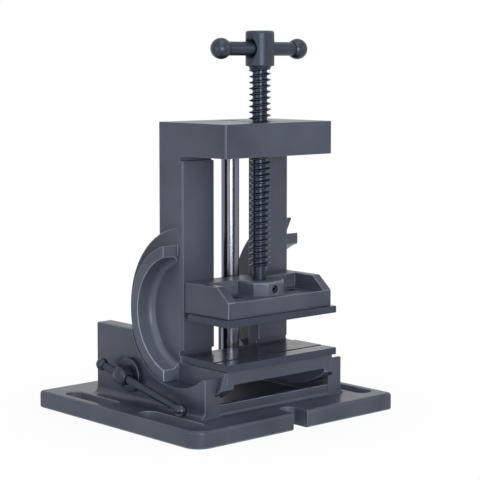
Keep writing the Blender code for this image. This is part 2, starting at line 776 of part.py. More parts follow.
def threaded_bar(name, low, high, finish):
    """A closed threaded bar: a right-hand helix of profile rows, cut square at both ends."""
    crest = thread_pitch * thread_crest_share
    root = thread_pitch * thread_root_share
    flank = (thread_pitch - crest - root) / 2
    rows = ((core_radius, 0.0), (core_radius, root), (thread_radius, root + flank),
            (thread_radius, root + flank + crest))
    turns = math.ceil((high - low) / thread_pitch) + 2
    bm = bmesh.new()
    columns = []
    for step in range(thread_sides + 1):
        lift = thread_pitch * step / thread_sides
        turn = 2 * math.pi * step / thread_sides
        column = []
        for lap in range(turns):
            for radius, offset in rows:
                if step == thread_sides:
                    break
                z = low + (lap - 1) * thread_pitch + offset + lift
                column.append(bm.verts.new((radius * math.cos(turn),
                                            screw_y + radius * math.sin(turn), z)))
        columns.append(column)
    columns[-1] = columns[0][len(rows):]
    for near, far in zip(columns, columns[1:]):
        for item in range(min(len(near), len(far)) - 1):
            bm.faces.new((near[item], far[item], far[item + 1], near[item + 1]))
    for z, normal in ((low, (0.0, 0.0, -1.0)), (high, (0.0, 0.0, 1.0))):
        everything = list(bm.verts) + list(bm.edges) + list(bm.faces)
        bmesh.ops.bisect_plane(bm, geom=everything, plane_co=(0.0, 0.0, z), plane_no=normal,
                               clear_outer=True, dist=merge_reach)
        rim = [edge for edge in bm.edges if edge.is_boundary
               and all(abs(vert.co.z - z) < skin for vert in edge.verts)]
        bmesh.ops.contextual_create(bm, geom=rim)
    return new_object(name, bm, finish)


def make_lead_screw(finish):
    top = head_low_z - head_cone_height + sink
    screw = threaded_bar("lead_screw", thread_low_z, top, finish)
    neck_low = stop_screw_z - journal_neck_height / 2
    neck_high = neck_low + journal_neck_height
    journal = [(journal_radius - edge_round, journal_low_z),
               (journal_radius, journal_low_z + edge_round), (journal_radius, neck_low),
               (journal_neck_radius, neck_low), (journal_neck_radius, neck_high),
               (journal_radius, neck_high), (journal_radius, thread_low_z + overrun)]
    centre = (0.0, screw_y, 0.0)
    foot = turned("foot", journal, "Z", centre)
    head_top = head_low_z + head_height
    head_profile = [(collar_radius, head_low_z - head_cone_height),
                    (collar_radius, head_low_z), (head_radius - edge_round, head_low_z),
                    (head_radius, head_low_z + edge_round),
                    (head_radius, head_top - head_round),
                    (head_radius - head_round * (1 - math.sqrt(0.5)),
                     head_top - head_round * (1 - math.sqrt(0.5))),
                    (head_radius - head_round, head_top)]
    head = turned("head", head_profile, "Z", centre)
    join(screw, foot, head)
    mouth = head_radius * head_sink_share
    depth = head_sink_radius - bar_radius - gap
    half = [(bar_radius + gap, mouth - depth), (head_sink_radius, mouth),
            (head_sink_radius + overrun, mouth + overrun)]
    profile = [(radius, -along) for radius, along in half[::-1]] + half
    cut(screw, turned("bar_way", profile, "X", (0.0, screw_y, bar_z)))
    shade(screw)
    return set_origin(screw, centre)


def make_nut(finish):
    low = block_z + gap
    high = block_z + block_height - gap
    nut = cylinder("screw_nut", nut_radius, "Z", (0.0, screw_y, 0.0), low, high, finish)
    cut(nut, cylinder("bore", thread_radius + gap, "Z", (0.0, screw_y, 0.0), low - overrun,
                      high + overrun))
    return shade(nut)


def make_stop_screw(finish):
    """The set screw in the boss; its tip runs in the lead screw's neck and pulls the jaw."""
    face = boss_front + stop_screw_inset
    tip = screw_y - journal_neck_radius - gap
    shoulder = screw_y - journal_radius - 2 * gap
    centre = (0.0, 0.0, stop_screw_z)
    profile = [(stop_screw_radius - edge_round, face), (stop_screw_radius, face + edge_round),
               (stop_screw_radius, shoulder), (stop_tip_radius, shoulder),
               (stop_tip_radius, tip)]
    screw = turned("jaw_stop_screw", profile, "Y", centre, finish, sides=small_sides)
    cut(screw, socket_cutter(stop_screw_radius * hex_share, stop_socket_depth, "Y", centre,
                             face, -1))
    return shade(screw)


def make_rod(finish):
    low = rod_seat_z
    high = block_z + block_height - gap
    profile = [(rod_radius - edge_round, low), (rod_radius, low + edge_round),
               (rod_radius, high - edge_round), (rod_radius - edge_round, high)]
    return shade(turned("guide_rod", profile, "Z", (0.0, rod_y, 0.0), finish))


def make_lock_screw(finish):
    """The set screw in the block's back that holds the guide rod."""
    tip = rod_y + rod_radius + gap
    centre = (0.0, 0.0, block_z + block_height / 2)
    profile = [(m6_radius - edge_round, tip), (m6_radius, tip + edge_round),
               (m6_radius, tip + lock_screw_length)]
    screw = turned("rod_lock_screw", profile, "Y", centre, finish, sides=small_sides)
    cut(screw, socket_cutter(m6_radius * hex_share, m6_socket_depth, "Y", centre,
                             tip + lock_screw_length, 1))
    return shade(screw)


def bar_piece(name, axis, centre, radius, low, high, finish):
    bevel = edge_round / 2
    profile = [(radius - bevel, low), (radius, low + bevel), (radius, high - bevel),
               (radius - bevel, high)]
    return turned(name, profile, axis, centre, finish, sides=small_sides)


def ball_piece(name, radius, bar_piece_radius, hole_depth, finish):
    """A ball about the origin with a blind hole on its +X side for the end of a bar."""
    profile = [(radius * math.sin(math.pi * step / ball_rows),
                -radius * math.cos(math.pi * step / ball_rows)) for step in range(1, ball_rows)]
    profile = [(0.0, -radius)] + profile + [(0.0, radius)]
    ball = turned(name, profile, "X", (0.0, 0.0, 0.0), finish, sides=small_sides)
    hole_radius = bar_piece_radius + gap
    mouth = math.sqrt(radius ** 2 - hole_radius ** 2)
    hole = cylinder("hole", hole_radius, "X", (0.0, 0.0, 0.0), mouth - hole_depth,
                    radius + overrun, sides=small_sides)
    cut(ball, hole)
    return shade(ball, 50.0)


def make_handle(finish):
    centre = (0.0, screw_y, bar_z)
    half = bar_span / 2
    mouth = math.sqrt(ball_radius ** 2 - (bar_radius + gap) ** 2)
    reach = half - mouth + bar_end - gap
    pieces = {"handle_bar": shade(bar_piece("handle_bar", "X", centre, bar_radius, -reach,
                                            reach, finish))}
    for side, word in ((-1, "left"), (1, "right")):
        name = "handle_ball_" + word
        ball = ball_piece(name, ball_radius, bar_radius, bar_end, finish)
        flip = Matrix.Identity(4) if side < 0 else Matrix.Rotation(math.pi, 4, "Z")
        ball.data.transform(Matrix.Translation((side * half, screw_y, bar_z)) @ flip)
        pieces[name] = ball
    for piece in pieces.values():
        set_origin(piece, centre)
    return pieces


# Wall clamps, made for the right wall. The left ones are the same parts turned about, so
# both screws have right-hand threads, and only the dogs are mirrored.

def clamp_shapes(finish, dog_finish):
    """The five kinds of clamp piece for the right wall, by name."""
    axis_place = (0.0, clamp_y, clamp_z)
    washer_low = wall_out + gap
    washer_high = washer_low + clamp_washer_thick
    washer = cylinder("clamp_washer", clamp_washer_radius, "X", axis_place, washer_low,
                      washer_high, finish)
    round_edges(washer, edge_round, along="YZ",
                where=lambda place: place.x > washer_high - sink, segments=2)
    cut(washer, cylinder("bore", clamp_shank_radius + gap, "X", axis_place,
                         washer_low - overrun, washer_high + overrun))

    head_low = washer_high + gap
    head_high = head_low + clamp_head_length
    dog_in = web_in - gap - dog_thick
    profile = [(clamp_shank_radius - edge_round, dog_in),
               (clamp_shank_radius, dog_in + edge_round), (clamp_shank_radius, head_low),
               (clamp_head_radius, head_low)]
    profile += [(clamp_head_radius - clamp_head_round * (1 - math.cos(turn)),
                 head_high - clamp_head_round * (1 - math.sin(turn)))
                for turn in (0.0, math.pi / 6, math.pi / 3, math.pi / 2)]
    screw = turned("clamp_screw", profile, "X", axis_place, finish)
    bar_x = (head_low + head_high - clamp_head_round / 2) / 2
    aim = Matrix.Rotation(-clamp_bar_drop, 4, "X")
    place = Matrix.Translation((bar_x, clamp_y, clamp_z)) @ aim
    reach = clamp_head_radius + overrun
    bar_way = cylinder("bar_way", clamp_bar_radius + gap, "Y", (0.0, 0.0, 0.0), -reach, reach,
                       sides=small_sides)
    bar_way.data.transform(place)
    cut(screw, bar_way)

    mouth = math.sqrt(clamp_ball_radius ** 2 - (clamp_bar_radius + gap) ** 2)
    inset = mouth - clamp_bar_end + gap
    bar = bar_piece("clamp_bar", "Y", (0.0, 0.0, 0.0), clamp_bar_radius,
                    -clamp_bar_short + inset, clamp_bar_long - inset, finish)
    balls = []
    for word, where, turn in (("long", clamp_bar_long, -1), ("short", -clamp_bar_short, 1)):
        ball = ball_piece("clamp_ball_" + word, clamp_ball_radius, clamp_bar_radius,
                          clamp_bar_end, finish)
        spin = Matrix.Rotation(turn * math.pi / 2, 4, "Z")
        ball.data.transform(Matrix.Translation((0.0, where, 0.0)) @ spin)
        balls.append(ball)
    for piece in (bar, *balls):
        piece.data.transform(place)

    across = math.atan2(clamp_z - tilt_z, clamp_y - tilt_y)
    axis_radius = math.hypot(clamp_y - tilt_y, clamp_z - tilt_z)
    rim_gap = axis_radius - rim_radius - slip
    outline = [(dog_in, -dog_reach), (web_in - gap, -dog_reach), (web_in - gap, -rim_gap),
               (wall_in - gap, -rim_gap), (wall_in - gap, heel_reach), (dog_in, heel_reach)]
    dog = prism("clamp_dog", outline, "Z", -dog_half, dog_half, dog_finish)
    dog.data.transform(Matrix.Translation(axis_place) @ Matrix.Rotation(across, 4, "X"))
    cut(dog, cylinder("tapping", clamp_shank_radius + gap, "X", axis_place,
                      dog_in - overrun, wall_in + overrun))
    return [washer, screw, bar, *balls, dog]


def make_clamps(finish, dog_finish):
    pieces = {}
    for piece in clamp_shapes(finish, dog_finish):
        shade(piece)
        kind = piece.name
        own = piece.data.materials[0]
        if kind == "clamp_dog":
            left = mirrored("left_" + kind, piece, own)
        else:
            left = turned_about("left_" + kind, piece, clamp_y, own)
        piece.name = "right_" + kind
        pieces["left_" + kind] = shade(left)
        pieces["right_" + kind] = piece
    for piece in pieces.values():
        set_origin(piece, (0.0, clamp_y, clamp_z))
    return pieces


# Assembly

def hang(children, parent):
    """Parent pieces to an empty on a joint's axis without moving them."""
    for child in children:
        child.parent = parent
        child.matrix_parent_inverse = Matrix.Translation(-parent.location)


def pivot(name, place, parent=None):
    empty = bpy.data.objects.new(name, None)
    empty.location = place
    empty.empty_display_size = head_height
    bpy.context.collection.objects.link(empty)
    if parent:
        empty.parent = parent
        empty.matrix_parent_inverse = Matrix.Translation(-Vector(parent.location))
    return empty


def main():
    remove_everything()
    cast = paint("cast_iron_grey", (0.085, 0.095, 0.115), 0.48, 0.35)
    plate = paint("ground_plate", (0.05, 0.055, 0.075), 0.25, 0.75)
    oxide = paint("black_oxide", (0.022, 0.026, 0.036), 0.34, 0.7)
    polished = paint("polished_rod", (0.78, 0.79, 0.82), 0.09, 1.0)
    bright = paint("nut_bronze", (0.46, 0.33, 0.16), 0.35, 0.9)

    base = make_base(cast)
    frame = set_origin(make_frame(cast), (0.0, tilt_y, tilt_z))
    jaw = make_moving_jaw(cast)
    fixed_plate = make_plate("fixed_jaw_plate", fixed_grip_z - plate_thick, True, plate)
    moving_plate = make_plate("movable_jaw_plate", moving_grip_z, False, plate)
    screws = {**make_plate_screws(oxide), **make_keeper_screws(oxide)}
    keepers = [make_keeper("keeper_left", -1, oxide), make_keeper("keeper_right", 1, oxide)]
    lead_screw = make_lead_screw(oxide)
    nut = make_nut(bright)
    stop_screw = make_stop_screw(oxide)
    rod = make_rod(polished)
    lock_screw = make_lock_screw(oxide)
    handle = make_handle(oxide)
    clamps = make_clamps(oxide, cast)

    tilt_pivot = pivot("tilt_pivot", (0.0, tilt_y, tilt_z))
    jaw_carrier = pivot("jaw_carrier", (0.0, screw_y, moving_grip_z), tilt_pivot)
    fixed_screws = [screw for name, screw in screws.items() if name.startswith("fixed")]
    moving_screws = [screw for name, screw in screws.items() if not name.startswith("fixed")]
    hang([frame, fixed_plate, nut, rod, lock_screw, *fixed_screws], tilt_pivot)
    hang([jaw, moving_plate, stop_screw, lead_screw, *keepers, *moving_screws], jaw_carrier)
    hang(handle.values(), lead_screw)
    hang(clamps.values(), base)
    bpy.context.view_layer.update()


main()
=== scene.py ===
import json
import math
import bmesh
import bpy
from mathutils import Matrix, Vector

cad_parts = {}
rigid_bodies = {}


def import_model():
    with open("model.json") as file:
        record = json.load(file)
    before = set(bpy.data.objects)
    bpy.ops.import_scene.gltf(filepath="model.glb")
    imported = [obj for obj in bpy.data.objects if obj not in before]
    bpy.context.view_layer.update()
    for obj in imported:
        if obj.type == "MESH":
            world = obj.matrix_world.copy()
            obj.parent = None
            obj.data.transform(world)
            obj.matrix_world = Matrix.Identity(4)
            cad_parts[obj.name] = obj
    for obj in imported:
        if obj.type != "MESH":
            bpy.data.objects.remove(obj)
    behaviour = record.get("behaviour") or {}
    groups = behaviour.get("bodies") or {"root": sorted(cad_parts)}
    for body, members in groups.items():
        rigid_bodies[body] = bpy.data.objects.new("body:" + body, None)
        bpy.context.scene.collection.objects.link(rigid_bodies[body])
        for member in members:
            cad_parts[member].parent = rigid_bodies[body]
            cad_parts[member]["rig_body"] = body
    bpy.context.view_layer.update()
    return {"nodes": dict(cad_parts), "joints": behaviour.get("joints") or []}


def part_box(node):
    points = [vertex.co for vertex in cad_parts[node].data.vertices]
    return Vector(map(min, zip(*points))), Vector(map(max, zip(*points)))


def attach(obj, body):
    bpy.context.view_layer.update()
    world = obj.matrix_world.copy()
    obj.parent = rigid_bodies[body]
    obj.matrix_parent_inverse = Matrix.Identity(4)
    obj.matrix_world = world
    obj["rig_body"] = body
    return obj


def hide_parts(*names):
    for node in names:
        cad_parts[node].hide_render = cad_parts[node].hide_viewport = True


# looks of the tilting milling vise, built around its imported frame
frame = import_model()
mm = 0.001        # lengths are in metres
print("frame loaded:", len(frame["nodes"]), "nodes")


def corners(node):
    # low corner, high corner, middle and size of a node's box
    low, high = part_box(node)
    return low, high, (low + high) / 2, high - low


def bodyOf(node):
    return frame["nodes"][node]["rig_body"]


def jointNamed(name):
    return next(joint for joint in frame["joints"] if joint["name"] == name)


def newPiece(name, bm, material):
    bmesh.ops.recalc_face_normals(bm, faces=bm.faces)
    mesh = bpy.data.meshes.new(name)
    bm.to_mesh(mesh)
    bm.free()
    piece = bpy.data.objects.new(name, mesh)
    bpy.context.scene.collection.objects.link(piece)
    mesh.materials.append(material)
    return piece


def applyModifiers(piece):
    graph = bpy.context.evaluated_depsgraph_get()
    mesh = bpy.data.meshes.new_from_object(piece.evaluated_get(graph), depsgraph=graph)
    piece.modifiers.clear()
    piece.data = mesh
    return piece


def carve(piece, cutter):
    step = piece.modifiers.new("carve", "BOOLEAN")
    step.operation, step.object, step.solver = "DIFFERENCE", cutter, "EXACT"
    applyModifiers(piece)
    bpy.data.objects.remove(cutter)


def sharpen(piece, degrees):
    piece.data.shade_smooth()
    piece.data.set_sharp_from_angle(angle=math.radians(degrees))
    return piece


def install(piece, node):
    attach(piece, bodyOf(node))
    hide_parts(node)


# every sharp edge is rounded, and the middle of each rounding is marked for wear and for a
# painted edge highlight
edgeBreak = {
    "sharpFrom": 34.0,      # degrees between faces from which an edge is rounded
    "segments": 2,
    "flat": 0.4,            # degrees under which two faces count as one
    "weld": 0.12 * mm,
    "turn": 0.42,           # sine of the turn from which a neighbour limits the rounding
    "roomShare": 0.42,      # of a neighbouring edge that a rounding may take
    "seat": 0.12,           # share of the rounding that is left where a plate sits
    "seatReach": 0.02 * mm,
}
# degrees between faces from which the shading breaks, and the weight of large faces
shading = {"coarse": 50.0, "fine": 40.0, "weight": 80}


def markEdges(piece):
    # 1 on the crest of an outer edge, -1 in an inner corner, 0 on the faces
    bm = bmesh.new()
    bm.from_mesh(piece.data)
    bm.normal_update()
    layer = bm.verts.layers.float.new("edgeMark")
    for vert in bm.verts:
        if vert.link_faces and all(face.material_index == 1 for face in vert.link_faces):
            bend = sum((edge.other_vert(vert).co - vert.co).normalized().dot(vert.normal)
                       for edge in vert.link_edges)
            vert[layer] = 1.0 if bend < 0 else -1.0
    for face in bm.faces:
        face.material_index = 0
    bm.to_mesh(piece.data)
    bm.free()


def edgeRoom(edge, width):
    # the widest rounding for which the neighbouring edges leave room
    along = edge.verts[1].co - edge.verts[0].co
    room = width
    for face in edge.link_faces:
        for near in face.edges:
            shared = set(near.verts) & set(edge.verts)
            if near is edge or not shared:
                continue
            slant = math.sin(along.angle(near.verts[1].co - near.verts[0].co))
            if slant > edgeBreak["turn"]:
                room = min(room, edgeBreak["roomShare"] * near.calc_length() * slant)
    return room


def evenOut(bm, sharp):
    # a run of edges, one after the other, gets the smallest rounding among them
    pairs = [[edge for edge in vert.link_edges if edge in sharp] for vert in bm.verts]
    pairs = [pair for pair in pairs if len(pair) == 2]
    changed = True
    while changed:
        changed = False
        for first, second in pairs:
            least = min(sharp[first], sharp[second])
            if max(sharp[first], sharp[second]) > least:
                sharp[first] = sharp[second] = least
                changed = True


def roundEdges(piece, width, angle=None, seats=()):
    bm = bmesh.new()
    bm.from_mesh(piece.data)
    layer = bm.edges.layers.float.new("bevel_weight_edge")
    sharpFrom = math.radians(angle or edgeBreak["sharpFrom"])
    sharp = {edge: edgeRoom(edge, width) / width for edge in bm.edges
             if len(edge.link_faces) == 2 and edge.calc_face_angle() > sharpFrom}
    for edge in sharp:
        if any(all(abs(vert.co.z - seat) < edgeBreak["seatReach"] for vert in edge.verts)
               for seat in seats):
            sharp[edge] *= edgeBreak["seat"]
    evenOut(bm, sharp)
    for edge, share in sharp.items():
        edge[layer] = share
    bm.to_mesh(piece.data)
    bm.free()
    piece.data.materials.append(piece.data.materials[0])
    bevel = piece.modifiers.new("edges", "BEVEL")
    bevel.width = width
    bevel.segments = edgeBreak["segments"]
    bevel.limit_method = "WEIGHT"
    bevel.use_clamp_overlap = False
    bevel.material = 1
    applyModifiers(piece)
    markEdges(piece)
    piece.data.materials.pop()
    return smooth(piece)


def smooth(piece):
    sharpen(piece, shading["coarse"])
    weighted = piece.modifiers.new("normals", "WEIGHTED_NORMAL")
    weighted.keep_sharp = True
    weighted.weight = shading["weight"]
    return applyModifiers(piece)


def markPaintedLight(piece, shareAt):
    # each vert whose faces all lie where painted light is laid gets its least share, from 0 to
    # 1
    bm = bmesh.new()
    bm.from_mesh(piece.data)
    bm.normal_update()
    layer = bm.verts.layers.float.new("rubbed")
    shares = {face: shareAt(face.calc_center_median(), face.normal) for face in bm.faces}
    for vert in bm.verts:
        vert[layer] = min(shares[face] for face in vert.link_faces)
    bm.to_mesh(piece.data)
    bm.free()


def refinedCopy(node, name, material, width, seats=(), grow=0.0):
    # grow moves the upper or the lower half of a plate up to its seat
    bm = bmesh.new()
    bm.from_mesh(frame["nodes"][node].data)
    bmesh.ops.remove_doubles(bm, verts=bm.verts, dist=edgeBreak["weld"])
    bmesh.ops.dissolve_limit(bm, angle_limit=math.radians(edgeBreak["flat"]),
                             use_dissolve_boundaries=False, verts=bm.verts, edges=bm.edges)
    middle = corners(node)[2].z
    for vert in bm.verts:
        if (vert.co.z - middle) * grow > 0:
            vert.co.z += grow
    for face in bm.faces:
        face.material_index = 0
    return roundEdges(newPiece(name, bm, material), width, seats=seats)


# turned pieces: each point of a profile is (radius, place along the axis, rounding)
turning = {"sides": 64, "steps": 3, "reachShare": 0.48, "weld": 0.001 * mm}
axisTurns = {"Z": Matrix.Identity(4), "X": Matrix.Rotation(math.pi / 2, 4, "Y"),
             "Y": Matrix.Rotation(-math.pi / 2, 4, "X")}


def softProfile(points, steps):
    # replaces each corner that has a rounding with an arc-like curve
    result = []
    for index, (radius, along, soft) in enumerate(points):
        here = Vector((radius, along))
        if not soft or index in (0, len(points) - 1):
            result.append((radius, along, 0.0))
            continue
        before = Vector(points[index - 1][:2]) - here
        after = Vector(points[index + 1][:2]) - here
        reach = min(soft, before.length * turning["reachShare"],
                    after.length * turning["reachShare"])
        start, stop = here + before.normalized() * reach, here + after.normalized() * reach
        for step in range(steps + 1):
            t = step / steps
            spot = start * (1 - t) ** 2 + here * 2 * t * (1 - t) + stop * t * t
            result.append((spot.x, spot.y, math.sin(math.pi * t)))
    return result


def turnedPiece(name, points, axis, centre, material, sides=turning["sides"],
                steps=turning["steps"]):
    bm = bmesh.new()
    layer = bm.verts.layers.float.new("edgeMark")
    rings = []
    for radius, along, mark in softProfile(points, steps):
        ring = []
        for step in range(sides if radius > 0 else 1):
            turn = 2 * math.pi * step / sides
            vert = bm.verts.new((radius * math.cos(turn), radius * math.sin(turn), along))
            vert[layer] = mark
            ring.append(vert)
        rings.append(ring)
    for low, high in zip(rings, rings[1:]):
        for step in range(sides):
            after = (step + 1) % sides
            ringCorners = [low[step % len(low)], low[after % len(low)],
                           high[after % len(high)], high[step % len(high)]]
            bm.faces.new(list(dict.fromkeys(ringCorners)))
    for ring in (rings[0], rings[-1]):
        if len(ring) > 1:
            bm.faces.new(ring)
    bmesh.ops.transform(bm, matrix=Matrix.Translation(centre) @ axisTurns[axis],
                        verts=bm.verts)
    return sharpen(newPiece(name, bm, material), shading["coarse"])


def openBore(piece):
    # a profile that comes back to its start leaves two caps in the bore
    bm = bmesh.new()
    bm.from_mesh(piece.data)
    caps = [face for face in bm.faces if len(face.verts) == turning["sides"]]
    bmesh.ops.delete(bm, geom=caps, context="FACES_ONLY")
    bmesh.ops.remove_doubles(bm, verts=bm.verts, dist=turning["weld"])
    bm.to_mesh(piece.data)
    bm.free()


def nodeGroup(name, inputs, outputs):
    # inputs and outputs are (label, Vector or Float)
    group = bpy.data.node_groups.new(name, "ShaderNodeTree")
    for way, sockets in (("INPUT", inputs), ("OUTPUT", outputs)):
        for label, kind in sockets:
            group.interface.new_socket(label, in_out=way, socket_type="NodeSocket" + kind)
    return group, group.nodes.new("NodeGroupInput"), group.nodes.new("NodeGroupOutput")


def addNode(tree, kind, values=None, **settings):
    node = tree.nodes.new(kind)
    for key, value in settings.items():
        setattr(node, key, value)
    for key, value in (values or {}).items():
        node.inputs[key].default_value = value
    return node


def wire(tree, *pairs):
    for source, target in pairs:
        tree.links.new(source, target)


skinNoise = {
    "grain": {"Detail": 4.0, "Roughness": 0.6}, "lumps": {"Detail": 2.0, "Roughness": 0.5},
    "drift": {"Scale": 22.0, "Detail": 3.0}, "nicks": {"Scale": 260.0, "Randomness": 1.0},
    "small": {"From Min": 0.17, "From Max": 0.08},      # how far a nick reaches
    "rare": {"From Min": 0.66, "From Max": 0.72},       # the lumps that have nicks
}


def castSkinGroup():
    # painted sand casting: soft lumps, fine grain, slow colour drift and small nicks
    group, start, end = nodeGroup("castSkin", [
        ("Vector", "Vector"), ("Grain Scale", "Float"), ("Lump Scale", "Float"),
        ("Lump Share", "Float"), ("Nick Strength", "Float")],
        [("Height", "Float"), ("Drift", "Float"), ("Nick", "Float")])
    grain = addNode(group, "ShaderNodeTexNoise", skinNoise["grain"])
    lumps = addNode(group, "ShaderNodeTexNoise", skinNoise["lumps"])
    drift = addNode(group, "ShaderNodeTexNoise", skinNoise["drift"])
    nicks = addNode(group, "ShaderNodeTexVoronoi", skinNoise["nicks"])
    small = addNode(group, "ShaderNodeMapRange", skinNoise["small"])
    rare = addNode(group, "ShaderNodeMapRange", skinNoise["rare"])
    some = addNode(group, "ShaderNodeMath", operation="MULTIPLY")
    faint = addNode(group, "ShaderNodeMath", operation="MULTIPLY")
    height = addNode(group, "ShaderNodeMix")
    wire(group, (start.outputs["Vector"], grain.inputs["Vector"]),
         (start.outputs["Vector"], lumps.inputs["Vector"]),
         (start.outputs["Vector"], drift.inputs["Vector"]),
         (start.outputs["Vector"], nicks.inputs["Vector"]),
         (start.outputs["Grain Scale"], grain.inputs["Scale"]),
         (start.outputs["Lump Scale"], lumps.inputs["Scale"]),
         (start.outputs["Lump Share"], height.inputs[0]),
         (grain.outputs["Fac"], height.inputs[2]),
         (lumps.outputs["Fac"], height.inputs[3]),
         (nicks.outputs["Distance"], small.inputs["Value"]),
         (lumps.outputs["Fac"], rare.inputs["Value"]),
         (small.outputs["Result"], some.inputs[0]), (rare.outputs["Result"], some.inputs[1]),
         (some.outputs["Value"], faint.inputs[0]),
         (start.outputs["Nick Strength"], faint.inputs[1]),
         (height.outputs[0], end.inputs["Height"]),
         (drift.outputs["Fac"], end.inputs["Drift"]),
         (faint.outputs["Value"], end.inputs["Nick"]))
    return group


grainNoise = {
    "lines": {"Scale": 2200.0, "Detail": 3.0, "Roughness": 0.7},
    "smudge": {"Scale": 45.0, "Detail": 4.0, "Roughness": 0.65},
}


def groundGrainGroup():
    # ground or milled steel: fine lines along one axis, set by the stretch, and smudges
    group, start, end = nodeGroup("groundGrain", [
        ("Vector", "Vector"), ("Stretch", "Vector")],
        [("Height", "Float"), ("Smudge", "Float")])
    place = addNode(group, "ShaderNodeVectorMath", operation="MULTIPLY")
    lines = addNode(group, "ShaderNodeTexNoise", grainNoise["lines"])
    smudge = addNode(group, "ShaderNodeTexNoise", grainNoise["smudge"])
    wire(group, (start.outputs["Vector"], place.inputs[0]),
         (start.outputs["Stretch"], place.inputs[1]),
         (place.outputs["Vector"], lines.inputs["Vector"]),
         (start.outputs["Vector"], smudge.inputs["Vector"]),
         (lines.outputs["Fac"], end.inputs["Height"]),
         (smudge.outputs["Fac"], end.inputs["Smudge"]))
    return group


wearNoise = {
    "patches": {"Scale": 70.0, "Detail": 4.0, "Roughness": 0.6},
    "ragged": {"From Min": 0.35, "From Max": 0.65},
}


def edgeWearAndHighlightGroup():
    # turns the edge mark into a broken mask of worn crests, which also paints a highlight on
    # them, and one of the inner corners, which paints a highlight into the fillets
    group, start, end = nodeGroup("edgeWear", [
        ("Vector", "Vector"), ("Mark", "Float"), ("Amount", "Float"), ("Break Up", "Float")],
        [("Worn", "Float"), ("Corner", "Float")])
    patches = addNode(group, "ShaderNodeTexNoise", wearNoise["patches"])
    ragged = addNode(group, "ShaderNodeMapRange", wearNoise["ragged"])
    broken = addNode(group, "ShaderNodeMix", {2: 1.0})
    crest = addNode(group, "ShaderNodeClamp")
    worn = addNode(group, "ShaderNodeMath", operation="MULTIPLY")
    scaled = addNode(group, "ShaderNodeMath", operation="MULTIPLY")
    inner = addNode(group, "ShaderNodeMath", {1: -1.0}, operation="MULTIPLY")
    corner = addNode(group, "ShaderNodeClamp")
    wire(group, (start.outputs["Vector"], patches.inputs["Vector"]),
         (patches.outputs["Fac"], ragged.inputs["Value"]),
         (start.outputs["Break Up"], broken.inputs[0]),
         (ragged.outputs["Result"], broken.inputs[3]),
         (start.outputs["Mark"], crest.inputs["Value"]),
         (crest.outputs["Result"], worn.inputs[0]), (broken.outputs[0], worn.inputs[1]),
         (worn.outputs["Value"], scaled.inputs[0]),
         (start.outputs["Amount"], scaled.inputs[1]),
         (start.outputs["Mark"], inner.inputs[0]),
         (inner.outputs["Value"], corner.inputs["Value"]),
         (scaled.outputs["Value"], end.inputs["Worn"]),
         (corner.outputs["Result"], end.inputs["Corner"]))
    return group


castSkin = castSkinGroup()
groundGrain = groundGrainGroup()
edgeWear = edgeWearAndHighlightGroup()


# pairs are the least and the most; wear and the painted edge highlight grow where painted light
# is laid
castingLook = {
    "deep": (0.030, 0.036, 0.051, 1), "pale": (0.059, 0.067, 0.090, 1),
    # the edge colour doubles as a painted highlight on the crests, and the inner-corner colour
    # is a painted highlight in the fillets
    "worn": (0.30, 0.325, 0.38, 1), "corner": (0.075, 0.083, 0.105, 1),
    # the palest colour is painted light, laid over shade and on rounded corners
    "rubbed": (0.100, 0.108, 0.134, 1), "roughness": (0.28, 0.40), "grain": 900.0,
    "lumps": 110.0, "lumpShare": 0.65, "bump": 0.05, "bumpDepth": 0.35 * mm,
    "wear": (0.6, 1.5), "breakUp": 0.6, "specular": 0.35, "nick": 0.25,
}
noiseReach = (0.3, 0.7)
steelShared = {"tint": (0.74, 0.84, 1.0, 1), "bumpDepth": 0.1 * mm}
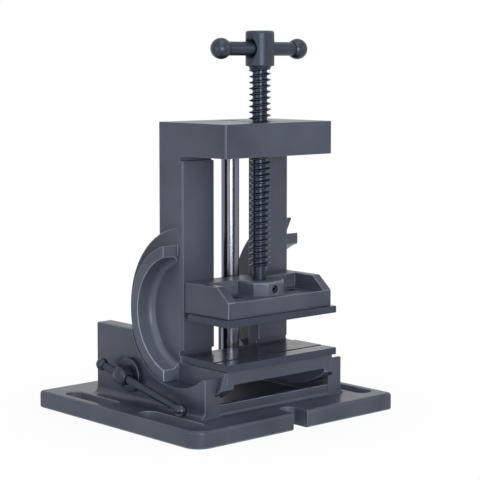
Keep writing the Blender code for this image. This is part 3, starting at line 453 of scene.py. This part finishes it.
# dull is the share of the colour that smudges leave
steelLooks = {
    "jawSteel": {"colour": (0.034, 0.039, 0.057, 1), "worn": (0.16, 0.17, 0.21, 1),
                 "metallic": 0.0, "specular": 0.28, "roughness": (0.18, 0.28),
                 "stretch": (0.03, 1, 1), "bump": 0.04, "wear": 0.5, "breakUp": 0.6,
                 "dull": 0.85},
    "threadSteel": {"colour": (0.011, 0.015, 0.026, 1), "worn": (0.16, 0.18, 0.24, 1),
                    "metallic": 0.3, "specular": 0.5, "roughness": (0.24, 0.32),
                    "stretch": (1, 1, 0.1), "bump": 0.02, "wear": 0.4, "breakUp": 0.7,
                    "dull": 0.8},
    "blackOxide": {"colour": (0.012, 0.016, 0.027, 1), "worn": (0.13, 0.145, 0.19, 1),
                   "metallic": 0.3, "specular": 0.75, "roughness": (0.36, 0.43),
                   "stretch": (1, 1, 0.6), "bump": 0.004, "wear": 0.35, "breakUp": 0.7,
                   "dull": 0.8},
    "ballSteel": {"colour": (0.013, 0.017, 0.027, 1), "worn": (0.13, 0.145, 0.19, 1),
                  "metallic": 0.3, "specular": 0.8, "roughness": (0.31, 0.35),
                  "stretch": (1, 1, 0.6), "bump": 0.004, "wear": 0.35, "breakUp": 0.7,
                  "dull": 0.8},
    # the clamp dogs' steel is made pale as painted light, standing in for light on dogs that
    # sit in shade in the frame's window
    "dogSteel": {"colour": (0.24, 0.25, 0.29, 1), "worn": (0.45, 0.47, 0.52, 1),
                 "metallic": 0.2, "specular": 0.5, "roughness": (0.35, 0.5),
                 "stretch": (1, 1, 0.2), "bump": 0.06, "wear": 0.5, "breakUp": 0.5,
                 "dull": 0.75},
    "milledSteel": {"colour": (0.07, 0.075, 0.092, 1), "worn": (0.35, 0.37, 0.42, 1),
                    "metallic": 0.8, "specular": 0.5, "roughness": (0.28, 0.42),
                    "stretch": (1, 1, 0.05), "bump": 0.08, "wear": 0.6, "breakUp": 0.4,
                    "dull": 0.72},
    "polishedRod": {"colour": (0.165, 0.172, 0.20, 1), "worn": (0.60, 0.61, 0.65, 1),
                    "metallic": 1.0, "specular": 0.5, "roughness": (0.22, 0.24),
                    "stretch": (1, 1, 8), "bump": 0.0, "wear": 0.5, "breakUp": 0.3,
                    "dull": 0.94},
    "turnedBronze": {"colour": (0.42, 0.29, 0.13, 1), "worn": (0.66, 0.50, 0.27, 1),
                     "metallic": 0.95, "specular": 0.5, "roughness": (0.22, 0.38),
                     "stretch": (1, 1, 10), "bump": 0.08, "wear": 0.6, "breakUp": 0.3,
                     "dull": 0.72},
}


def startMaterial(name):
    material = bpy.data.materials.new(name)
    material.use_nodes = True
    tree = material.node_tree
    shader = tree.nodes["Principled BSDF"]
    place = addNode(tree, "ShaderNodeTexCoord")
    mark = addNode(tree, "ShaderNodeAttribute", attribute_name="edgeMark")
    wear = addNode(tree, "ShaderNodeGroup")
    wear.node_tree = edgeWear
    wire(tree, (place.outputs["Object"], wear.inputs["Vector"]),
         (mark.outputs["Fac"], wear.inputs["Mark"]))
    return material, tree, shader, place.outputs["Object"], wear


def colourMix(tree, factor, first, second):
    mix = addNode(tree, "ShaderNodeMix", data_type="RGBA")
    wire(tree, (factor, mix.inputs[0]))
    for socket, value in ((mix.inputs[6], first), (mix.inputs[7], second)):
        if isinstance(value, tuple):
            socket.default_value = value
        else:
            wire(tree, (value, socket))
    return mix.outputs[2]


def spread(tree, factor, limits):
    # what the noise mostly reaches becomes the given limits
    ramp = addNode(tree, "ShaderNodeMapRange", {
        "From Min": noiseReach[0], "From Max": noiseReach[1],
        "To Min": limits[0], "To Max": limits[1]})
    wire(tree, (factor, ramp.inputs["Value"]))
    return ramp.outputs["Result"]


def castingMaterial(name, look):
    material, tree, shader, place, wear = startMaterial(name)
    skin = addNode(tree, "ShaderNodeGroup")
    skin.node_tree = castSkin
    skin.inputs["Grain Scale"].default_value = look["grain"]
    skin.inputs["Lump Scale"].default_value = look["lumps"]
    skin.inputs["Lump Share"].default_value = look["lumpShare"]
    skin.inputs["Nick Strength"].default_value = look["nick"]
    rubbed = addNode(tree, "ShaderNodeAttribute", attribute_name="rubbed")
    amount = addNode(tree, "ShaderNodeMapRange", {"To Min": look["wear"][0],
                                                  "To Max": look["wear"][1]})
    wear.inputs["Break Up"].default_value = look["breakUp"]
    body = colourMix(tree, spread(tree, skin.outputs["Drift"], (0, 1)), look["deep"],
                     look["pale"])
    # painted light: the marked places turn paler, standing in for light in shade and for
    # highlights on rounded corners
    paler = colourMix(tree, rubbed.outputs["Fac"], body, look["rubbed"])
    # painted highlight in the inner fillets
    inCorners = colourMix(tree, wear.outputs["Corner"], paler, look["corner"])
    nicked = colourMix(tree, skin.outputs["Nick"], inCorners, look["worn"])
    # worn edges, which also serve as a painted highlight on the crests
    finished = colourMix(tree, wear.outputs["Worn"], nicked, look["worn"])
    bump = addNode(tree, "ShaderNodeBump", {"Strength": look["bump"],
                                            "Distance": look["bumpDepth"]})
    wire(tree, (place, skin.inputs["Vector"]),
         (rubbed.outputs["Fac"], amount.inputs["Value"]),
         (amount.outputs["Result"], wear.inputs["Amount"]),
         (skin.outputs["Height"], bump.inputs["Height"]),
         (bump.outputs["Normal"], shader.inputs["Normal"]),
         (finished, shader.inputs["Base Color"]),
         (spread(tree, skin.outputs["Drift"], look["roughness"]),
          shader.inputs["Roughness"]))
    shader.inputs["Specular IOR Level"].default_value = look["specular"]
    return material


def steelMaterial(name, look):
    material, tree, shader, place, wear = startMaterial(name)
    grain = addNode(tree, "ShaderNodeGroup")
    grain.node_tree = groundGrain
    grain.inputs["Stretch"].default_value = look["stretch"]
    wear.inputs["Amount"].default_value = look["wear"]
    wear.inputs["Break Up"].default_value = look["breakUp"]
    dulled = tuple(value * look["dull"] for value in look["colour"][:3]) + (1,)
    body = colourMix(tree, spread(tree, grain.outputs["Smudge"], (0, 1)), look["colour"],
                     dulled)
    # worn edges, which also serve as a painted highlight on the crests
    finished = colourMix(tree, wear.outputs["Worn"], body, look["worn"])
    bump = addNode(tree, "ShaderNodeBump", {"Strength": look["bump"],
                                            "Distance": steelShared["bumpDepth"]})
    wire(tree, (place, grain.inputs["Vector"]),
         (grain.outputs["Height"], bump.inputs["Height"]),
         (bump.outputs["Normal"], shader.inputs["Normal"]),
         (finished, shader.inputs["Base Color"]),
         (spread(tree, grain.outputs["Smudge"], look["roughness"]),
          shader.inputs["Roughness"]))
    shader.inputs["Metallic"].default_value = look["metallic"]
    shader.inputs["Specular IOR Level"].default_value = look["specular"]
    shader.inputs["Specular Tint"].default_value = steelShared["tint"]
    return material


castPaint = castingMaterial("castPaint", castingLook)
steels = {name: steelMaterial(name, look) for name, look in steelLooks.items()}
print("materials ready:", 1 + len(steels))


# castings and flat pieces are refined copies of the frame's own solids; the plates grow
# up to their seats across the gap that the solids leave
plateSeats = {"gap": 0.3 * mm, "grow": 0.27 * mm}
fixedSeat = corners("fixed_jaw_plate")[0].z - plateSeats["gap"]
movingSeat = corners("movable_jaw")[0].z
flatPieces = {      # node: (name, material, rounding, slot)
    "base_casting": ("baseCasting", castPaint, 0.6 * mm, "base_casting"),
    "vise_frame": ("tiltFrame", castPaint, 0.7 * mm, "vise_frame"),
    "movable_jaw": ("movingJaw", castPaint, 0.6 * mm, "movable_jaw"),
    "fixed_jaw_plate": ("fixedPlate", steels["jawSteel"], 0.12 * mm, "jaw_plate"),
    "movable_jaw_plate": ("movingPlate", steels["jawSteel"], 0.12 * mm, "jaw_plate"),
    "keeper_left": ("keeperLeft", steels["milledSteel"], 0.4 * mm, "keeper"),
    "keeper_right": ("keeperRight", steels["milledSteel"], 0.4 * mm, "keeper"),
    "left_clamp_dog": ("dogLeft", steels["dogSteel"], 0.5 * mm, "clamp_dog"),
    "right_clamp_dog": ("dogRight", steels["dogSteel"], 0.5 * mm, "clamp_dog"),
}
grows = {"fixed_jaw_plate": -plateSeats["grow"], "movable_jaw_plate": plateSeats["grow"]}
# where painted light is laid on the castings, lifting shade and painting highlights on rounded
# corners; pocket, boss, post and disc are shares of it
paintedLightPlaces = {
    "ringIn": 34.0 * mm, "ringOut": 48.5 * mm, "ringSide": 50.2 * mm,   # guide ring
    "brightZ": 40 * mm, "darkZ": 125 * mm, "discSide": 49.3 * mm, "disc": 0.35,
    "railSide": 46.0 * mm, "turned": 0.15, "level": 0.9,
    "plateTop": 11.95 * mm, "slotInset": 4 * mm, "postFront": -60 * mm, "post": 0.6,
    "pocketHalf": 40.6 * mm, "pocketLow": 87.35 * mm, "pocketHigh": 96.5 * mm,
    "pocketBack": -38.9 * mm, "pocket": 1.0, "bossBack": -45 * mm, "boss": 0.15,
}


def isCorner(normal):
    # an upright rounding between a side and a front face
    return min(abs(normal.x), abs(normal.y)) > paintedLightPlaces["turned"] > abs(normal.z)


def frameShare(spot, normal):
    # painted light: the guide rings lighter towards the ground, the discs lifted out of their
    # shade, and a painted highlight on the rails' upright corners
    places = paintedLightPlaces
    away = math.hypot(spot.y - tiltAxis.y, spot.z - tiltAxis.z)
    if abs(spot.x) > places["ringSide"] and places["ringIn"] < away < places["ringOut"]:
        share = (places["darkZ"] - spot.z) / (places["darkZ"] - places["brightZ"])
        return min(max(share, 0.0), 1.0)
    if abs(spot.x) > places["discSide"] and away < places["ringIn"]:
        return places["disc"]
    return 1.0 if abs(spot.x) > places["railSide"] and isCorner(normal) else 0.0


def baseShare(spot, normal):
    # painted light: the slots' walls in the plate lifted out of their shade, and a painted
    # highlight on the corners of the front posts
    places = paintedLightPlaces
    inPlate = all(abs(spot[axis]) < baseReach[axis] - places["slotInset"] for axis in (0, 1))
    if spot.z < places["plateTop"] and inPlate:
        return 1.0 if abs(normal.z) < places["level"] else 0.0
    return places["post"] if spot.y < places["postFront"] and isCorner(normal) else 0.0


def jawShare(spot, normal):
    # painted light lifting the shade on the pocket's walls, and less so on the boss in front of
    # them
    places = paintedLightPlaces
    inPocket = abs(spot.x) < places["pocketHalf"] and spot.y < places["pocketBack"]
    high = places["pocketLow"] < spot.z < places["pocketHigh"]
    share = places["boss"] if spot.y < places["bossBack"] else places["pocket"]
    return share if inPocket and high else 0.0


tiltAxis = Vector(jointNamed("tilt")["pos_m"])
baseReach = corners("base_casting")[1]
paintedLightFaces = {"vise_frame": frameShare, "base_casting": baseShare, "movable_jaw": jawShare}
for node, (name, material, width, slot) in flatPieces.items():
    piece = refinedCopy(node, name, material, width, (fixedSeat, movingSeat),
                        grows.get(node, 0.0))
    if node in paintedLightFaces:
        markPaintedLight(piece, paintedLightFaces[node])
    install(piece, node)
print("flat pieces and castings placed:", len(flatPieces))


rodLook = {"edge": 0.6 * mm, "soft": 0.3 * mm}
nutLook = {"bore": 7.8 * mm, "edge": 0.5 * mm}


def placeRod():
    low, high, middle, size = corners("guide_rod")
    radius, edge, soft = size.x / 2, rodLook["edge"], rodLook["soft"]
    points = [(radius - edge, low.z, 0), (radius, low.z + edge, soft),
              (radius, high.z - edge, soft), (radius - edge, high.z, 0)]
    rod = turnedPiece("guideRod", points, "Z", (middle.x, middle.y, 0),
                      steels["polishedRod"])
    install(rod, "guide_rod")


def placeNut():
    low, high, middle, size = corners("screw_nut")
    outer, inner, edge = size.x / 2, nutLook["bore"], nutLook["edge"]
    points = [(inner, middle.z, 0), (inner, low.z, edge), (outer, low.z, edge),
              (outer, high.z, edge), (inner + edge, high.z, edge),
              (inner, high.z - edge, 0), (inner, middle.z, 0)]
    nut = turnedPiece("screwNut", points, "Z", (middle.x, middle.y, 0),
                      steels["turnedBronze"])
    openBore(nut)
    install(nut, "screw_nut")


# the thread's crest and core are radii, its shares are parts of the pitch
threadLook = {
    "pitch": 4.0 * mm, "crest": 7.5 * mm, "core": 5.0 * mm, "rootShare": 0.46,
    "crestShare": 0.10, "soft": 0.22 * mm, "flankMark": 0.3, "sides": 56,
    "low": 106.0 * mm, "high": 240.0 * mm, "rimReach": 0.05 * mm, "cutReach": 0.0001 * mm,
}
headLook = {
    "journal": 4.7 * mm, "journalLow": 80.0 * mm, "journalEdge": 0.5 * mm,
    "overlap": 1.5 * mm,                # of the journal with the thread
    "neck": 3.3 * mm, "neckLow": 89.2 * mm, "neckHigh": 93.6 * mm,
    "collar": 7.8 * mm, "collarFoot": 6.7 * mm, "collarLow": 239.0 * mm,
    "collarSoft": 0.3 * mm,
    "radius": 9.75 * mm, "low": 241.5 * mm, "high": 265.3 * mm, "lowSoft": 1.1 * mm,
    "highSoft": 2.0 * mm, "sides": 72, "steps": 5,
    "dish": 0.3 * mm, "dishIn": 4.4 * mm, "dishSoft": 0.6 * mm,
    "barZ": 253.2 * mm, "barHole": 5.0 * mm, "sink": 6.6 * mm, "sinkDepth": 1.6 * mm,
    "mouthShare": 0.9, "mouthOut": 2.0 * mm, "edge": 0.35 * mm,
    "innerSides": 48,                   # of the journal and the cross hole
}


def threadBar(name, spec, centre, material):
    root, crest = spec["pitch"] * spec["rootShare"], spec["pitch"] * spec["crestShare"]
    flank = (spec["pitch"] - root - crest) / 2
    soft = spec["soft"]
    lean = soft * flank / (spec["crest"] - spec["core"])
    rows = [(spec["core"], 0.0, 0.0), (spec["core"], root, 0.0),
            (spec["crest"] - soft, root + flank - lean, spec["flankMark"]),
            (spec["crest"], root + flank + soft / 2, 1.0),
            (spec["crest"], root + flank + crest - soft / 2, 1.0),
            (spec["crest"] - soft, root + flank + crest + lean, spec["flankMark"])]
    sides = spec["sides"]
    turns = math.ceil((spec["high"] - spec["low"]) / spec["pitch"]) + 2
    bm = bmesh.new()
    layer = bm.verts.layers.float.new("edgeMark")
    columns = []
    for step in range(sides):
        turn = 2 * math.pi * step / sides
        lift = spec["pitch"] * step / sides
        column = []
        for lap in range(turns):
            for radius, offset, mark in rows:
                height = spec["low"] + (lap - 1) * spec["pitch"] + offset + lift
                vert = bm.verts.new((radius * math.cos(turn), radius * math.sin(turn),
                                     height))
                vert[layer] = mark
                column.append(vert)
        columns.append(column)
    columns.append(columns[0][len(rows):])      # the helix closes one turn higher
    for near, far in zip(columns, columns[1:]):
        for item in range(min(len(near), len(far)) - 1):
            bm.faces.new((near[item], far[item], far[item + 1], near[item + 1]))
    for height, normal in ((spec["low"], (0, 0, -1)), (spec["high"], (0, 0, 1))):
        everything = list(bm.verts) + list(bm.edges) + list(bm.faces)
        bmesh.ops.bisect_plane(bm, geom=everything, plane_co=(0, 0, height),
                               plane_no=normal, clear_outer=True, dist=spec["cutReach"])
        rim = [edge for edge in bm.edges if edge.is_boundary
               and all(abs(vert.co.z - height) < spec["rimReach"] for vert in edge.verts)]
        bmesh.ops.contextual_create(bm, geom=rim)
    bmesh.ops.translate(bm, verts=bm.verts, vec=(centre.x, centre.y, 0))
    return sharpen(newPiece(name, bm, material), shading["fine"])


def screwHead(centre, material):
    # the collar, the dished head and its cross hole with flared mouths
    head = headLook
    top = turnedPiece("head", [
        (head["collarFoot"], head["collarLow"], 0),
        (head["collar"], head["low"], head["collarSoft"]),
        (head["radius"], head["low"], head["lowSoft"]),
        (head["radius"], head["high"], head["highSoft"]),
        (head["radius"] - head["dishIn"], head["high"], head["dishSoft"]),
        (0, head["high"] - head["dish"], 0)], "Z", centre, material,
        sides=head["sides"], steps=head["steps"])
    mouth, out = head["radius"] * head["mouthShare"], head["mouthOut"]
    half = [(head["barHole"], mouth - head["sinkDepth"], 0), (head["sink"], mouth, 0),
            (head["sink"] + out, mouth + out, 0)]
    mirrored = [(radius, -along, 0) for radius, along, soft in half[::-1]]
    way = turnedPiece("way", mirrored + half, "X", (centre.x, centre.y, head["barZ"]),
                      material, sides=head["innerSides"])
    carve(top, way)
    return roundEdges(top, head["edge"], angle=shading["fine"])


def placeLeadScrew():
    head, middle = headLook, corners("lead_screw")[2]
    centre = Vector((middle.x, middle.y, 0))
    thread = threadBar("leadScrew", threadLook, centre, steels["threadSteel"])
    thread.data.materials.append(steels["blackOxide"])
    journal = turnedPiece("journal", [
        (head["journal"] - head["journalEdge"], head["journalLow"], 0),
        (head["journal"], head["journalLow"] + head["journalEdge"], 0),
        (head["journal"], head["neckLow"], 0), (head["neck"], head["neckLow"], 0),
        (head["neck"], head["neckHigh"], 0), (head["journal"], head["neckHigh"], 0),
        (head["journal"], threadLook["low"] + head["overlap"], 0)], "Z", centre,
        steels["blackOxide"], sides=head["innerSides"])
    top = screwHead(centre, steels["blackOxide"])
    for face in top.data.polygons:
        face.material_index = 1
    parts = [thread, journal, top]
    bm = bmesh.new()
    for part in parts:
        bm.from_mesh(part.data)
    bm.to_mesh(thread.data)
    bm.free()
    for part in parts[1:]:
        bpy.data.objects.remove(part)
    install(sharpen(thread, shading["fine"]), "lead_screw")


placeRod()
placeNut()
placeLeadScrew()
print("rod, nut and lead screw placed")


# handle and lever are the bars' radii
barLook = {
    "handle": 4.7 * mm, "lever": 2.6 * mm, "chamfer": 0.4 * mm, "soft": 0.2 * mm,
    "neckOver": 0.3 * mm, "neckDeep": 2.2 * mm, "arcSteps": 16, "sides": 40,
}


def arcTo(radius, height, start, steps):
    # pairs of radius and height, from the start angle up to the pole
    turns = [start + (math.pi / 2 - start) * step / steps for step in range(steps)]
    return [(radius * math.cos(turn), height * math.sin(turn)) for turn in turns] \
        + [(0.0, height)]


def turnTo(direction):
    return Vector((0, 0, 1)).rotation_difference(direction).to_matrix().to_4x4()


def barAndBalls(bar, balls, direction, radius):
    # bar is (node, name); balls are (node, name, outward sign)
    look = barLook
    middle, size = corners(bar[0])[2:]
    spin = turnTo(direction)
    lengthwise = abs(direction.y) > abs(direction.x)
    reach = (size.y - 2 * radius * abs(direction.z)) / abs(direction.y) if lengthwise \
        else size.x
    end, neck = reach / 2, radius + look["neckOver"]
    rod = turnedPiece(bar[1], [
        (radius - look["chamfer"], -end, 0), (radius, -end + look["chamfer"], look["soft"]),
        (radius, end - look["chamfer"], look["soft"]), (radius - look["chamfer"], end, 0)],
        "Z", (0, 0, 0), steels["blackOxide"], sides=look["sides"])
    rod.data.transform(Matrix.Translation(middle) @ spin)
    install(rod, bar[0])
    for node, name, sign in balls:
        centre, size = corners(node)[2:]
        ballRadius = max(size) / 2
        start = -math.sqrt(ballRadius ** 2 - neck ** 2)
        seat = start + look["neckDeep"]         # the ball's blind hole for the bar's end
        shell = arcTo(ballRadius, ballRadius, math.atan2(start, neck), look["arcSteps"])
        points = [(0.0, seat, 0), (neck, seat, 0)]
        points += [(across, along, 0) for across, along in shell]
        ball = turnedPiece(name, points, "Z", (0, 0, 0), steels["ballSteel"],
                           sides=look["sides"])
        flip = Matrix.Identity(4) if sign > 0 else Matrix.Rotation(math.pi, 4, "X")
        ball.data.transform(Matrix.Translation(centre) @ spin @ flip)
        install(ball, node)


barAndBalls(("handle_bar", "handleBar"),
            [("handle_ball_left", "handleBallLeft", -1),
             ("handle_ball_right", "handleBallRight", 1)],
            Vector((1, 0, 0)), barLook["handle"])
for side in ("left", "right"):
    barAndBalls((side + "_clamp_bar", side + "LeverBar"),
                [(side + "_clamp_ball_long", side + "LeverBallLong", -1),
                 (side + "_clamp_ball_short", side + "LeverBallShort", 1)],
                Vector(jointNamed(side + "_lever_slide")["axis"]), barLook["lever"])
print("handle and levers placed")


# head and shank are radii; the hole is the lever's way through the head
clampLook = {
    "head": 6.6 * mm, "headSoft": 0.5 * mm, "headGap": 0.3 * mm, "dome": 2.6 * mm,
    "domeSteps": 8, "shank": 5.0 * mm, "tip": 0.8 * mm, "soft": 0.3 * mm,
    "sides": 56, "steps": 6,
    "hole": 2.9 * mm, "holeHalf": 5.9 * mm, "flare": 1.2 * mm, "flareHalf": 10.0 * mm,
    "holeSides": 32,
    "washerBore": 5.3 * mm, "washerEdge": 0.7 * mm,
    "washerSofts": (0.3 * mm, 0.4 * mm, 0.5 * mm),
}


def placeClamp(side):
    look, steel = clampLook, steels["blackOxide"]
    out = -1 if side == "left" else 1
    low, high, middle = corners(side + "_clamp_screw")[:3]
    tip, face = (high.x, low.x) if out < 0 else (low.x, high.x)
    low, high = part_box(side + "_clamp_washer")
    inner, outer = (high.x, low.x) if out < 0 else (low.x, high.x)
    under = outer + out * look["headGap"]
    centre = Vector((0, middle.y, middle.z))
    points = [(0, tip, 0), (look["shank"] - look["tip"], tip, look["soft"]),
              (look["shank"], tip + out * look["tip"], look["soft"]),
              (look["shank"], under, look["soft"]), (look["head"], under, look["headSoft"])]
    points += [(across, face - out * (look["dome"] - rise), 0) for across, rise in
               arcTo(look["head"], look["dome"], 0.0, look["domeSteps"])]
    screw = turnedPiece(side + "ClampScrew", points, "X", centre, steel,
                        sides=look["sides"], steps=look["steps"])
    wide = look["hole"] + look["flare"]
    way = turnedPiece("way", [(wide, -look["flareHalf"], 0),
                              (look["hole"], -look["holeHalf"], 0),
                              (look["hole"], look["holeHalf"], 0),
                              (wide, look["flareHalf"], 0)],
                      "Z", (0, 0, 0), steel, sides=look["holeSides"])
    crossing = Vector((corners(side + "_clamp_bar")[2].x, middle.y, middle.z))
    spin = turnTo(Vector(jointNamed(side + "_lever_slide")["axis"]))
    way.data.transform(Matrix.Translation(crossing) @ spin)
    carve(screw, way)
    install(sharpen(screw, shading["fine"]), side + "_clamp_screw")

    radius, bore, edge = (high.y - low.y) / 2, look["washerBore"], look["washerEdge"]
    first, second, third = look["washerSofts"]
    half = (inner + outer) / 2
    points = [(bore, half, 0), (bore, inner, first), (radius, inner, second),
              (radius, outer, edge), (bore + edge, outer, third),
              (bore, outer - out * edge, 0), (bore, half, 0)]
    washer = turnedPiece(side + "ClampWasher", points, "X", centre, steel)
    openBore(washer)
    install(washer, side + "_clamp_washer")


for side in ("left", "right"):
    placeClamp(side)
print("clamps placed")


# each size has the shank's radius and the head's height
screwLook = {
    "hexShare": 0.55, "socket": 3.0 * mm, "socketTip": 0.8 * mm, "over": 2.0 * mm,
    "edge": 0.4 * mm, "tipSoft": 0.2 * mm, "neckSoft": 0.3 * mm, "rimSoft": 0.7 * mm,
    "sides": 40, "plateScrew": (3.0 * mm, 5.1 * mm), "keeperScrew": (2.5 * mm, 4.6 * mm),
    "stopEdge": 0.15 * mm,
}


def socketScrew(node, name, axis, out, shank=None):
    # out is +1 where the head points along the axis; a set screw has no shank
    look, steel = screwLook, steels["blackOxide"]
    low, high, middle, size = corners(node)
    index = "XYZ".index(axis)
    across = size[(index + 1) % 3] / 2
    face, tip = (high[index], low[index]) if out > 0 else (low[index], high[index])
    centre = Vector(middle)
    centre[index] = 0
    radius, height = shank or (across, 0)
    points = [(0, tip, 0), (radius - look["edge"], tip, look["tipSoft"]),
              (radius, tip + out * look["edge"], look["tipSoft"])]
    if shank:
        points += [(radius, face - out * height, look["tipSoft"]),
                   (across, face - out * height, look["neckSoft"])]
    points += [(across, face, look["rimSoft"]), (0, face, 0)]
    screw = turnedPiece(name, points, axis, centre, steel, sides=look["sides"])
    hexRadius, floor = across * look["hexShare"], face - out * look["socket"]
    way = turnedPiece("way", [(0, floor - out * look["socketTip"], 0), (hexRadius, floor, 0),
                              (hexRadius, face + out * look["over"], 0)],
                      axis, centre, steel, sides=6)
    carve(screw, way)
    install(sharpen(screw, shading["fine"]), node)


for side in ("left", "right"):
    word = side.capitalize()
    socketScrew(f"movable_plate_screw_{side}", "movingPlateScrew" + word, "Z", 1,
                screwLook["plateScrew"])
    socketScrew(f"fixed_plate_screw_{side}", "fixedPlateScrew" + word, "Z", -1,
                screwLook["plateScrew"])
    for level in ("lower", "upper"):
        socketScrew(f"keeper_screw_{side}_{level}", f"keeperScrew{word}_{level}", "Y", 1,
                    screwLook["keeperScrew"])
socketScrew("rod_lock_screw", "rodLockScrew", "Y", 1)
install(refinedCopy("jaw_stop_screw", "jawStopScrew", steels["blackOxide"],
                    screwLook["stopEdge"]), "jaw_stop_screw")
print("socket screws placed")


# lamps are (name, place, size, watts)
studio = {
    "floorHalf": 4.0, "floorDrop": 0.2 * mm, "floorColour": (0.9, 0.9, 0.9, 1),
    "floorRough": 0.9, "fill": (0.80, 0.86, 1.0, 1), "fillStrength": 0.55,
    "whiteShare": 0.93, "shadowReach": (0.11, 0.22),    # the floor's, in metres from the middle
    "lamps": [
        ("keyLamp", (-0.9, -1.0, 1.3), 0.6, 2.4),
        ("sideLamp", (-0.8, -0.1, 0.10), 0.6, 1.9),
        ("frontLamp", (0.9, -1.3, 0.6), 0.6, 2.2),
        ("lowLamp", (-0.55, -1.05, 0.16), 0.45, 7.4),
        ("topLamp", (-0.1, -0.5, 1.5), 0.9, 4.6),
    ],
    "lampColour": (0.90, 0.95, 1.0), "lampAim": (0, 0, 0.1),
}


def whiteForCamera(tree, litOutput, target, share):
    # the camera, gloss and glass see plain white, by the share; the rest sees the lit surface
    path = addNode(tree, "ShaderNodeLightPath")
    either = addNode(tree, "ShaderNodeMath", operation="MAXIMUM")
    anyOf = addNode(tree, "ShaderNodeMath", operation="MAXIMUM")
    scaled = addNode(tree, "ShaderNodeMath", {1: 1.0}, operation="MULTIPLY")
    if share:
        wire(tree, (share, scaled.inputs[1]))
    white = addNode(tree, "ShaderNodeBackground" if target.node.type == "OUTPUT_WORLD"
                    else "ShaderNodeEmission", {"Color": (1, 1, 1, 1), "Strength": 1.0})
    mix = addNode(tree, "ShaderNodeMixShader")
    wire(tree, (path.outputs["Is Camera Ray"], either.inputs[0]),
         (path.outputs["Is Glossy Ray"], either.inputs[1]),
         (either.outputs["Value"], anyOf.inputs[0]),
         (path.outputs["Is Transmission Ray"], anyOf.inputs[1]),
         (anyOf.outputs["Value"], scaled.inputs[0]),
         (scaled.outputs["Value"], mix.inputs["Fac"]), (litOutput, mix.inputs[1]),
         (white.outputs[0], mix.inputs[2]), (mix.outputs["Shader"], target))


def makeFloor():
    bm = bmesh.new()
    half = studio["floorHalf"]
    bm.faces.new([bm.verts.new((x, y, -studio["floorDrop"])) for x, y in
                  ((-half, -half), (half, -half), (half, half), (-half, half))])
    material = bpy.data.materials.new("paleFloor")
    material.use_nodes = True
    tree = material.node_tree
    shader = tree.nodes["Principled BSDF"]
    shader.inputs["Base Color"].default_value = studio["floorColour"]
    shader.inputs["Roughness"].default_value = studio["floorRough"]
    shader.inputs["Specular IOR Level"].default_value = 0.0
    place = addNode(tree, "ShaderNodeTexCoord")
    reach = addNode(tree, "ShaderNodeVectorMath", operation="LENGTH")
    whiter = addNode(tree, "ShaderNodeMapRange", {
        "From Min": studio["shadowReach"][0], "From Max": studio["shadowReach"][1],
        "To Min": studio["whiteShare"], "To Max": 1.0})
    wire(tree, (place.outputs["Object"], reach.inputs[0]),
         (reach.outputs["Value"], whiter.inputs["Value"]))
    whiteForCamera(tree, shader.outputs["BSDF"],
                   tree.nodes["Material Output"].inputs["Surface"], whiter.outputs["Result"])
    newPiece("floor", bm, material)


def makeWorld():
    world = bpy.data.worlds.new("studio")
    bpy.context.scene.world = world
    world.use_nodes = True
    tree = world.node_tree
    fill = tree.nodes["Background"]
    fill.inputs["Color"].default_value = studio["fill"]
    fill.inputs["Strength"].default_value = studio["fillStrength"]
    whiteForCamera(tree, fill.outputs["Background"],
                   tree.nodes["World Output"].inputs["Surface"], None)


def makeLamps():
    for name, place, size, power in studio["lamps"]:
        lamp = bpy.data.lights.new(name, "AREA")
        lamp.size, lamp.energy = size, power
        lamp.color = studio["lampColour"]
        lampObject = bpy.data.objects.new(name, lamp)
        bpy.context.scene.collection.objects.link(lampObject)
        lampObject.location = place
        aim = Vector(studio["lampAim"]) - Vector(place)
        lampObject.rotation_euler = aim.to_track_quat("-Z", "Y").to_euler()


# turn and pitch are in degrees
cameraLook = {"lens": 117.374, "sensor": 36.0, "shift": -0.1, "clip": 0.05,
              "place": (-0.71723, -0.82398, 0.24575), "turn": 41.962, "pitch": 4.827}


def makeCamera():
    camera = bpy.data.cameras.new("camera")
    camera.lens, camera.sensor_width = cameraLook["lens"], cameraLook["sensor"]
    camera.shift_y = cameraLook["shift"]
    camera.clip_start = cameraLook["clip"]
    holder = bpy.data.objects.new("camera", camera)
    bpy.context.scene.collection.objects.link(holder)
    holder.location = cameraLook["place"]
    holder.rotation_euler = (math.pi / 2 - math.radians(cameraLook["pitch"]), 0,
                             -math.radians(cameraLook["turn"]))
    bpy.context.scene.camera = holder


makeFloor()
makeWorld()
makeLamps()
makeCamera()
bpy.context.scene.view_settings.view_transform = "Standard"
print("studio ready")
